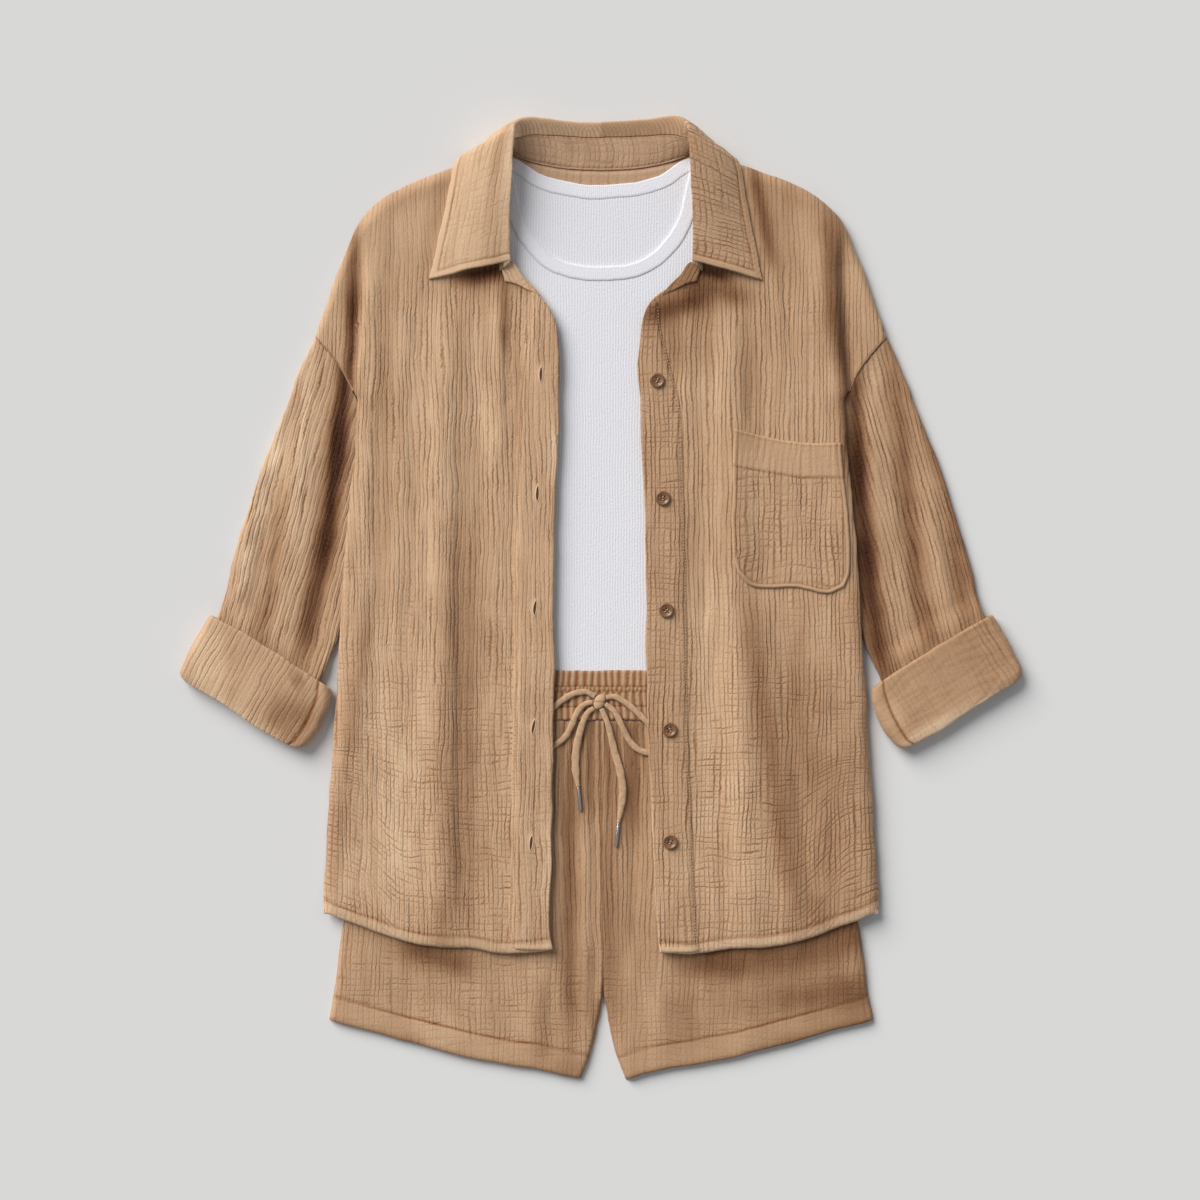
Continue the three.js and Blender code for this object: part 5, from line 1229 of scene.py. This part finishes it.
# ---------------------------------------------------------------- tubes: sleeves and cuffs
def tube_grid(outline, low, high, top, cap, under, rows):
    """A flat tube's points: over the top, round the inner edge, back under, and round the outer edge. Each
    of the four runs has its own count of points. Returns also 1 on top, -1 below and 0 at the edges."""
    v = steps(rows)[:, None]
    a, b, middle = (outline(share + 0 * v, v) for share in (0, 1, 0.5))
    width = np.linalg.norm(b - a, axis=-1)
    reach = (high(*xy(middle)) - low(*xy(middle))) / 2
    bend = np.linspace(90, -90, cap + 2)[1:-1]
    across = np.concatenate([np.linspace(0.01, 0.99, top), np.full(cap, 2.0), np.linspace(0.99, 0.01, under),
                             np.full(cap, -1.0)])[None, :]
    angles = np.radians(np.concatenate([np.zeros(top), bend, np.zeros(under), -bend]))[None, :]
    lift = np.concatenate([np.ones(top), np.zeros(cap), -np.ones(under), np.zeros(cap)])[None, :] + 0 * v
    inset = reach * (1 - np.cos(angles)) / width
    u = np.where(lift != 0, mix(reach / width, 1 - reach / width, clip01(across)),
                 np.where(across > 1, 1 - inset, inset))
    x, y = xy(outline(u, v + 0 * u))
    h, l = high(x, y), low(x, y)
    z = np.where(lift > 0, h, np.where(lift < 0, l, (h + l) / 2 + (h - l) / 2 * np.sin(angles)))
    return x, y, z, lift, u


def cuff_distance(x, y):
    """How far up the sleeve a point is from the cuff's upper edge."""
    (ax, ay), (bx, by) = CUFF_END[0], CUFF_END[4]
    dx, dy = bx - ax, by - ay
    return ((x - ax) * dy - (y - ay) * dx) / math.hypot(dx, dy)


def sleeve_end(x, y):
    """0 on the sleeve, 1 where it goes into the cuff."""
    return smooth((30 - cuff_distance(x, y)) / 22)


CUFF_FLOOR = CUFF_WALL + LIFT + 0.1
SLEEVE_TURN = {"right": 15.0, "left": 14.0}  # degrees from the body's ribs to the sleeve's


def sleeve(side, seed):
    """A sleeve, a flat tube from the dropped shoulder down into its cuff."""
    seam = moved(SLEEVE_SEAM, 0, 3.5 * SEAM)
    outline = patch(curve([SLEEVE_OUTER[0], SLEEVE_INNER[0]]), curve(seam),
                    curve(moved(SLEEVE_OUTER, 0, -2 * SEAM)), curve(moved(SLEEVE_INNER, 0, -2 * SEAM)))

    def low(x, y):
        return CUFF_FLOOR * sleeve_end(x, y)

    def high(x, y):
        ridge = fold_height(SLEEVE_FOLDS[side], x, y) * smooth((x - 246) / 24)
        end = sleeve_end(x, y)
        return TOP["sleeve"] + np.maximum(-2.4, ridge) * (1 - end) + CUFF_FLOOR * end

    x, y, z, lift, _ = tube_grid(outline, low, high, top=99, cap=7, under=15, rows=172)
    grain = grain_of(x, y, SLEEVE_TURN[side], (265, 200))
    fan = grain[..., 0] + 0.10 * (grain[..., 0] - 20) * clip01(-grain[..., 1] / 300)
    ribs, wefts = (1.2, 0.12) if side == "right" else (1.0, 0.3)
    relief = Relief(fan, grain[..., 1], seed, depth=0.9, ribs=ribs, wefts=wefts, pitch=5.2)
    relief.calm(clip01(0.85 + 0.6 * noise(fan / 6, grain[..., 1] / 28, seed + 12)))
    from_seam, _ = along_line(x, y, drawn(seam, 40))
    relief.calm(np.where(lift < 0, 0.5, 1.0) * smooth(from_seam / 6 + 0.3))
    relief.press(0.3 * bump_at(from_seam, 2.2, 1.2))
    z = z + 1.5 * bump_at(from_seam, 0, 10) * (lift > 0)
    # painted shade on the left sleeve; painted light on the folds' ridges and painted shade in their troughs;
    # painted shade just above the cuff; then the shade table
    tone_and_shade = -0.15 * (side == "left") + 0.05 * np.clip(fold_height(SLEEVE_FOLDS[side], x, y), -3, 2.5)
    tone_and_shade = tone_and_shade + 0.04 * noise(x / 25, y / 120, seed + 9) - 0.14 * smooth((24 - cuff_distance(x, y)) / 30)
    tone_and_shade = np.maximum(shaded(tone_and_shade, SLEEVE_SHADES[side], x, y), -0.88)
    cloth("gauze_sleeve_" + side, on_side(side, x, y, z), GAUZE, relief, gauze, ["sleeve_" + side], grain,
          tone_and_shade=tone_and_shade, closed=True, radius=0.8, up=False)


def armhole_seam(side):
    """The piping along the sleeve's seam."""
    x, y = xy(drawn(flat(ARMHOLE), 70, 0.12, 0.98))
    line = wander(on_side(side, x, y + 0.4, front_height(side, x, y + 1.5) - 0.75))
    # the piping is darker than the cloth round it: painted shade along the armhole seam
    tube("armhole_seam_" + side, line, np.full(70, 2.2), np.full(70, 1.8), gauze, [], 9, 8,
         tone_and_shade=-0.3)


def cuff(side, seed):
    """The sleeve's rolled end."""
    outline = patch(curve(CUFF_MOUTH), curve(CUFF_END), curve(CUFF_OUTER), curve(CUFF_INNER))

    def high(x, y):
        return TOP["cuff"] - 2.5 * (1 - smooth((cuff_distance(x, y) + 74) / 12))

    x, y, z, lift, u = tube_grid(outline, lambda x, y: 0 * x, high, top=105, cap=13, under=25, rows=44)
    grain = grain_of(x, y, 30.0, (300, -80))
    wavy = grain[..., 0] + 1.2 * noise(grain[..., 0] / 30, grain[..., 1] / 25, seed + 1)
    relief = Relief(wavy, grain[..., 1], seed, depth=0.6, ribs=0.7, wefts=0.15, pitch=5.6)
    if side == "left":
        relief.calm(0.3 + 0.7 * smooth((0.25 - u) / 0.15))
        long_folds = bump_at(noise(grain[..., 0] / 70, grain[..., 1] / 9, 33), 0, 0.12)
        relief.press(0.3 * long_folds, 0.12 * long_folds)
    relief.calm(mix(1, 0.5, smooth((u - 0.915) / 0.02)))
    groove = bump_at(u, 0.905, 0.009) * (lift > 0)
    relief.press(0.8 * groove, 0.8 * groove)
    # painted shade: the left cuff darker than the right
    tone_and_shade = (-0.2 if side == "left" else -0.06) + 0.04 * noise(x / 22, y / 22, seed + 10)
    cloth("gauze_cuff_" + side, on_side(side, x, y, z), CUFF_WALL, relief, gauze, ["cuff_" + side], grain,
          tone_and_shade=shaded(tone_and_shade, CUFF_SHADES[side], x, y), closed=True, radius=1.5, up=False)


for side in SIDES:
    sleeve_seed = SEED + (900 if side == "left" else 800)
    armhole_seam(side)
    sleeve(side, sleeve_seed)
    cuff(side, sleeve_seed + 20)


# ---------------------------------------------------------------- shorts
SHORTS_HEM_DEPTH = 24.5
# how far the shirt's shade reaches below its hem, from which x it starts, and how dark it is
SHIRT_SHADE = {"right": (lambda x: 26, 35, 0.16),
               "left": (lambda x: mix(34, 48, smooth((x - 100) / 90)), 86, 0.5)}


def shorts_leg(side, seed):
    """A leg's front and, from the same outline, its back."""
    inner = [(x - 0.9 * (y > -400), y) for x, y in SHORTS_INNER[side]]
    top_end = (inner[-1][0], SHORTS_SIDE[-1][1])
    hem = flat(SHORTS_HEM)[:-1] + [inner[0]]
    outline = patch(curve(hem), curve([SHORTS_SIDE[-1][:2], top_end]), curve(flat(SHORTS_SIDE)),
                    curve(inner))
    x, y = xy(outline(*grid_of(148, 152)))
    low = smooth((-300 - y) / 90)
    strength = 0.5 if side == "left" else 0.68
    relief = Relief(x, y, seed, ribs=mix(0.8, strength, low), wefts=0.08 + 0.85 * strength * low, pitch=5.0)
    hem_line = drawn(hem, 80)
    lines = hem_line, drawn(flat(SHORTS_SIDE), 60), drawn(inner, 60), drawn(shirt_hem(side), 60)
    away, from_side, from_inner, from_shirt = (along_line(x, y, line)[0] for line in lines)
    sewn = bump_at(away, SHORTS_HEM_DEPTH, 1.1)
    seam = 0.6 * bump_at(from_side, 7.5, 1.0) + 0.9 * bump_at(from_inner, 0.4, 1.5)
    pleat = wave(2 * np.pi * x / 9.5 + 3.2 * noise(x / 30, y / 120, seed + 12))
    gather = smooth((y + 260) / 130)
    relief.calm(mix(0.5, 1, smooth((away - 22) / 4)))
    relief.press(0.6 * sewn + 0.5 * seam + 1.1 * gather * (1 - pleat),
                 0.8 * sewn + 0.5 * seam + 0.35 * gather * (1 - pleat) ** 2)
    reach, starts, deepest = SHIRT_SHADE[side]
    below = smooth((reach(x) - from_shirt) / 34) * smooth((x - starts) / 25)
    # painted shade over both legs, more on the left; painted light on the folds' ridges and painted shade in
    # their troughs
    tone_and_shade = -0.11 - 0.085 * (side == "left") + 0.05 * np.clip(fold_height(SHORTS_FOLDS[side], x, y), -2, 2)
    tone_and_shade = shaded(tone_and_shade + 0.03 * noise(x / 30, y / 90, seed + 13), SHORTS_SHADES[side], x, y)
    # painted shadow below the shirt's hem, and painted shade along the leg's hem edge
    tone_and_shade = (1 + tone_and_shade) * (1 - deepest * below) * (1 - 0.2 * bump_at(away, 0, 5)) - 1
    cloth("gauze_shorts_front_" + side, on_side(side, x, y, shorts_front_height(side, x, y)), GAUZE, relief,
          gauze, ["shorts_front_" + side], grain_of(x, y), tone_and_shade=tone_and_shade, radius=1.0)
    hem_row = drawn(moved(hem_line[::8], 0, SHORTS_HEM_DEPTH), 280, 0.02, 0.97)
    side_row = drawn(moved(SHORTS_SIDE, -7.3, 0), 120, 0.07, 0.42)
    stitch_lines["shorts"] += [laid_row(side, hem_row, shorts_front_height, -0.6),
                               laid_row(side, side_row, shorts_front_height, -0.5)]
    x, y = xy(outline(*grid_of(76, 76)))
    relief = Relief(x, y, seed + 50, depth=0.5, wefts=0.6, pitch=8)
    # the back a little darker: painted shade under the front
    cloth("gauze_shorts_back_" + side, on_side(side, x, y, shorts_back_height(x, y)), GAUZE, relief, gauze,
          ["shorts_back_" + side], grain_of(x, y), tone_and_shade=-0.04, radius=0.7)


def waistband():
    """A flat ring, with three rows of elastic stitching."""
    top_cells, cap_cells, under_cells, band_rows = 257, 6, 35, 32
    v = np.linspace(0, 1, band_rows + 1)[:, None]
    half_width = WAIST["half_width"] - 3
    reach = (TOP["waistband"] - WAIST["low"]) / 2
    angles = np.radians(np.linspace(90, -90, cap_cells + 2)[1:-1])
    out, up = reach * np.cos(angles), reach * np.sin(angles)
    middle = WAIST["low"] + reach
    x = np.concatenate([np.linspace(-half_width, half_width, top_cells), half_width + out,
                        np.linspace(half_width, -half_width, under_cells), -half_width - out]) + 0 * v
    z = np.concatenate([np.full(top_cells, TOP["waistband"]), middle + up, np.full(under_cells, WAIST["low"]),
                        middle - up]) + 0 * v
    y = mix(WAIST["bottom"], WAIST["top"], v) + 0 * x
    is_top = (np.arange(x.shape[1]) < top_cells) + 0 * v
    wide = wave(2 * np.pi * x / 7.2 + 2.6 * noise(x / 22, y / 60, 41) + 0.02 * (y + 80) * np.sign(x))
    fine = wave(2 * np.pi * x / 4.2 + 2.2 * noise(x / 15, y / 30, 43))
    middle_zone = smooth((y + 94) / 2.5) * (1 - smooth((y + 89) / 3))
    gathers = mix(wide, fine, middle_zone)
    rows_pressed = sum(bump_at(y, at, 0.9) for at in (-87.3, -92.5, -107.2))
    relief = Relief(x, y, SEED + 1300, depth=0, ribs=0.25, wefts=0.2)
    relief.press(is_top * (mix(1.25, 0.8, middle_zone) * (1 - gathers) + 0.55 * rows_pressed),
                 is_top * (0.75 * (1 - gathers) ** 1.5 + 0.5 * rows_pressed))
    relief.press((1 - is_top) * 0.4 * (1 - wide))
    # painted shade: the waistband darker than the cloth round it
    cloth("gauze_waistband", np.stack([x, y, z], -1), ELASTIC_WALL, relief, gauze, ["waistband"],
          np.stack([x, y], -1), tone_and_shade=-0.13, closed=True, radius=0.9, up=False)


for side in SIDES:
    shorts_leg(side, SEED + (1100 if side == "left" else 1000))
waistband()


# ---------------------------------------------------------------- tank top
TANK_FOOT, TANK_WIDE = -144.0, 104  # y of the tucked-in end, and x where its neck ends at the shoulder


def whole_neck(neck):
    """The neck's edge, from shoulder to shoulder."""
    return curve([(-x, y) for x, y in TANK_NECK[neck]] + TANK_NECK[neck][-2::-1])


def tank_face(neck, top_z, rows):
    """A face of the tank, over both sides, with rows that close up towards the neck's edge."""
    line = whole_neck(neck)(np.linspace(0.5, 1, 200))
    inner_x = np.linspace(0, TANK_WIDE, 153)
    share = np.linspace(0, 1, 12)[1:]
    v = 1 - (1 - steps(rows))[:, None] ** 1.8
    side_line = drawn(TANK_SIDE, 200)
    y_out = mix(TANK_FOOT, TANK_SIDE[-1][1], v) + 0 * share
    x_out = TANK_WIDE + share * (np.interp(y_out, side_line[:, 1], side_line[:, 0]) - TANK_WIDE)
    x_half = np.hstack([inner_x + 0 * v, x_out])
    y_half = np.hstack([mix(TANK_FOOT, np.interp(inner_x, line[:, 0], line[:, 1]), v), y_out])
    x, y = np.hstack([-x_half[:, ::-1], x_half[:, 1:]]), np.hstack([y_half[:, ::-1], y_half[:, 1:]])
    keep = x.shape[1] - (x.shape[1] - 1) % STRIDE
    x, y = x[:, :keep], y[:, :keep]
    fine = smooth((TANK_WIDE + 2 - abs(x)) / 3)
    ribs = wave(2 * np.pi * x / 2.75 + np.pi / 2)
    slack = 0.5 + 0.5 * noise(x / 40, y / 130, 61 if neck == "front" else 62)
    relief = Relief(x, y, 0, depth=0)
    relief.press(0.24 * fine * (1 - ribs) ** 1.2 + 0.3 * slack, 0.32 * (1 - ribs) * fine)
    # the back a little darker: painted shade in the neck
    cloth("jersey_tank_" + neck, np.stack([x, y, top_z + 0 * x], -1), JERSEY, relief, jersey,
          ["tank_" + neck], np.stack([x, y], -1), tone_and_shade=-0.02 * (neck == "back"), radius=0.05)


def tank_binding(neck, z, thickness):
    """The ribbed band round the neck's edge."""
    full = whole_neck(neck)(np.linspace(0, 1, 641))
    tangent = np.gradient(full, axis=0)
    tangent /= np.linalg.norm(tangent, axis=1, keepdims=True)
    out = np.stack([tangent[:, 1], -tangent[:, 0]], 1)
    out *= np.sign(out[len(out) // 2, 1])
    w = np.concatenate([[-0.6], np.linspace(-0.4, BINDING - 0.2, 11), [BINDING]])[:, None]
    place = full + out * w[..., None]
    run, w = np.broadcast_arrays(run_of(full), w)
    ribs = wave(2 * np.pi * run / 2.2 + np.pi / 2)
    crown = 0.2 * ((w - BINDING / 2) / (BINDING / 2)) ** 4
    seam = bump_at(w, BINDING - 2.4, 0.7)
    relief = Relief(run, w, 0, depth=0)
    relief.press(0.12 * (1 - ribs) + 0.35 * crown + 0.1 * seam, 0.25 * (1 - ribs) + 0.12 * seam)
    name = "tank_%s_binding" % neck
    # a little lighter, with painted shade along the neck's edge that takes down its highlight
    cloth("jersey_" + name, np.concatenate([place, z + 0 * place[..., :1]], -1), thickness, relief, jersey,
          [name], np.stack([run, w], -1), tone_and_shade=0.02 - 0.2 * smooth((2.2 - w) / 1.6),
          radius=0.3)


for neck, raise_by, rows, rests_on in (("back", 0.1, 36, "shirt_back"), ("front", 0.35, 60, "tank_back")):
    tank_face(neck, TOP["tank_" + neck], rows)
    tank_binding(neck, TOP["tank_" + neck] + raise_by, JERSEY + raise_by)


# ---------------------------------------------------------------- buttons and buttonholes
def band_top(x, y):
    """The highest place of the band under a button."""
    around = np.array([[0, 0], [7.4, 0], [-7.4, 0], [0, 7.4], [0, -7.4]])
    return float(front_height("left", x + around[:, 0], y + around[:, 1]).max()) + BAND_RAISE


def ring_points(r, h, t):
    """A ring of a turned solid: its radius, its height and the angles of its points."""
    return np.stack([r * np.cos(t), r * np.sin(t), h + 0 * t], 1)


# radius and height, from the middle of the underside over the rim to the middle of the dish
PROFILE = [(0, 0), (5.6, 0), (6.9, 0.5), (7.35, 1.3), (7.35, 2.1), (6.95, 2.8), (6.2, 3.0), (5.5, 2.85),
           (4.9, 2.3), (4.3, 2.05), (2.2, 1.95), (0, 1.95)]
HOLE_REACH, HOLE_RADIUS = 1.9, 1.0
THREAD_RISE, THREAD_APART = 2.2, 0.22  # over the button's underside, and from the middle of a pair


def button(index, bx, by, turn):
    """A dished horn button with four holes, and the thread that holds it."""
    seat = band_top(bx, by) + LIFT
    sides = 64
    t = np.linspace(0, 2 * np.pi, sides, endpoint=False)
    rings = [ring_points(r, h, t) for r, h in PROFILE[1:-1]]
    points = np.concatenate(rings + [np.array([[0, 0, PROFILE[0][1]], [0, 0, PROFILE[-1][1]]])])
    grid = looped(np.arange(sides * len(rings)).reshape(-1, sides))
    fan = np.stack([grid[0, 1:], grid[0, :-1], np.full(sides, len(points) - 2)], 1)
    lid = np.stack([grid[-1, :-1], grid[-1, 1:], np.full(sides, len(points) - 1)], 1)
    mesh = make_mesh("button_%d" % index, points, [quads(grid), fan, lid])
    piece = place_piece("horn_button_%d" % index, mesh, horn, ["button_%d" % index])
    piece.location = (bx * MM, by * MM, seat * MM)
    piece.rotation_euler = (0, 0, math.radians(turn))
    # the holes are cut where the button lies
    angles = [math.radians(90 * quarter) + math.radians(turn) for quarter in range(4)]
    holes = [(bx + HOLE_REACH * math.cos(a), by + HOLE_REACH * math.sin(a)) for a in angles]
    cutters = []
    for hx, hy in holes:
        bpy.ops.mesh.primitive_cylinder_add(vertices=24, radius=HOLE_RADIUS * MM, depth=8 * MM,
                                            location=(hx * MM, hy * MM, (seat + 1) * MM))
        cutters.append(bpy.context.object)
        cut = piece.modifiers.new("hole", "BOOLEAN")
        cut.operation, cut.solver, cut.object = "DIFFERENCE", "EXACT", cutters[-1]
    bpy.context.view_layer.update()
    made = bpy.data.meshes.new_from_object(piece.evaluated_get(bpy.context.evaluated_depsgraph_get()))
    piece.modifiers.clear()
    piece.data = made
    made.transform(piece.matrix_world)
    piece.matrix_world.identity()
    piece.location, piece.rotation_euler = (0, 0, 0), (0, 0, 0)
    for cutter in cutters:
        bpy.data.objects.remove(cutter)
    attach(piece, "root")
    # two stitches of thread cross the dish between the holes
    lines = []
    for a, b in ((0, 1), (3, 2)):
        ends = np.array([[*holes[a], seat + THREAD_RISE], [*holes[b], seat + THREAD_RISE]])
        across = np.array([ends[0, 1] - ends[1, 1], ends[1, 0] - ends[0, 0], 0])
        across *= THREAD_APART / np.linalg.norm(across)
        lines += [ends - across, ends + across]
    stitches("button_%d_thread" % index, lines, length=2.2, step=9, width=0.5)


# half width, half length, height, ripple and painted shade of a buttonhole's rings, from its slit to its edge
HOLE_RINGS = [(0.02, 6, 0.02, 0, 1), (0.9375, 7, 0.04, 0, 1), (1.25, 7, 0.1, 0, 0.8),
              (1.475, 7.24, 0.42, 0.12, 0.1), (2, 7.8, 0.42, 0.12, 0), (2.45, 8.28, 0.15, 0, 0.1),
              (2.9, 8.76, -0.3, 0, 0.5)]


def buttonhole(index, hx, hy, turn):
    """The sewn rim round a buttonhole, with painted shadow in its slit."""
    a = math.radians(turn)
    sides = 72
    t = np.linspace(0, 2 * np.pi, sides, endpoint=False)
    rings = []
    for w, length, rise, ripple, _ in HOLE_RINGS:
        ox, oy = w * np.sin(t) * (abs(np.sin(t)) ** 0.35), length * np.cos(t)
        px, py = hx + ox * math.cos(a) - oy * math.sin(a), hy + ox * math.sin(a) + oy * math.cos(a)
        pz = front_height("right", px, py) + BAND_RAISE + RIDGE + rise + ripple * np.sin(34 * t)
        rings.append(on_side("right", px, py, pz))
    points = wander(np.concatenate(rings))
    cells = quads(looped(np.arange(sides * len(rings)).reshape(-1, sides)))
    dark = np.repeat([ring[4] for ring in HOLE_RINGS], sides)
    fields = {"valley": dark, "tone_and_shade": 0.05 - 0.1 * dark}
    mesh = make_mesh("buttonhole_%d" % index, points, [cells[:, ::-1]], fields, points[:, :2])
    place_piece("buttonhole_%d_rim" % index, mesh, (thread, slit_shadow))
    in_slit = np.arange(len(cells)) < sides * 2
    mesh.polygons.foreach_set("material_index", in_slit.astype(np.int32))


for index, place in enumerate(BUTTONS, 1):
    button(index, *place)
for index, place in enumerate(BUTTONHOLES, 1):
    buttonhole(index, *place)

for garment, rows in stitch_lines.items():
    stitches("stitching_" + garment, rows)
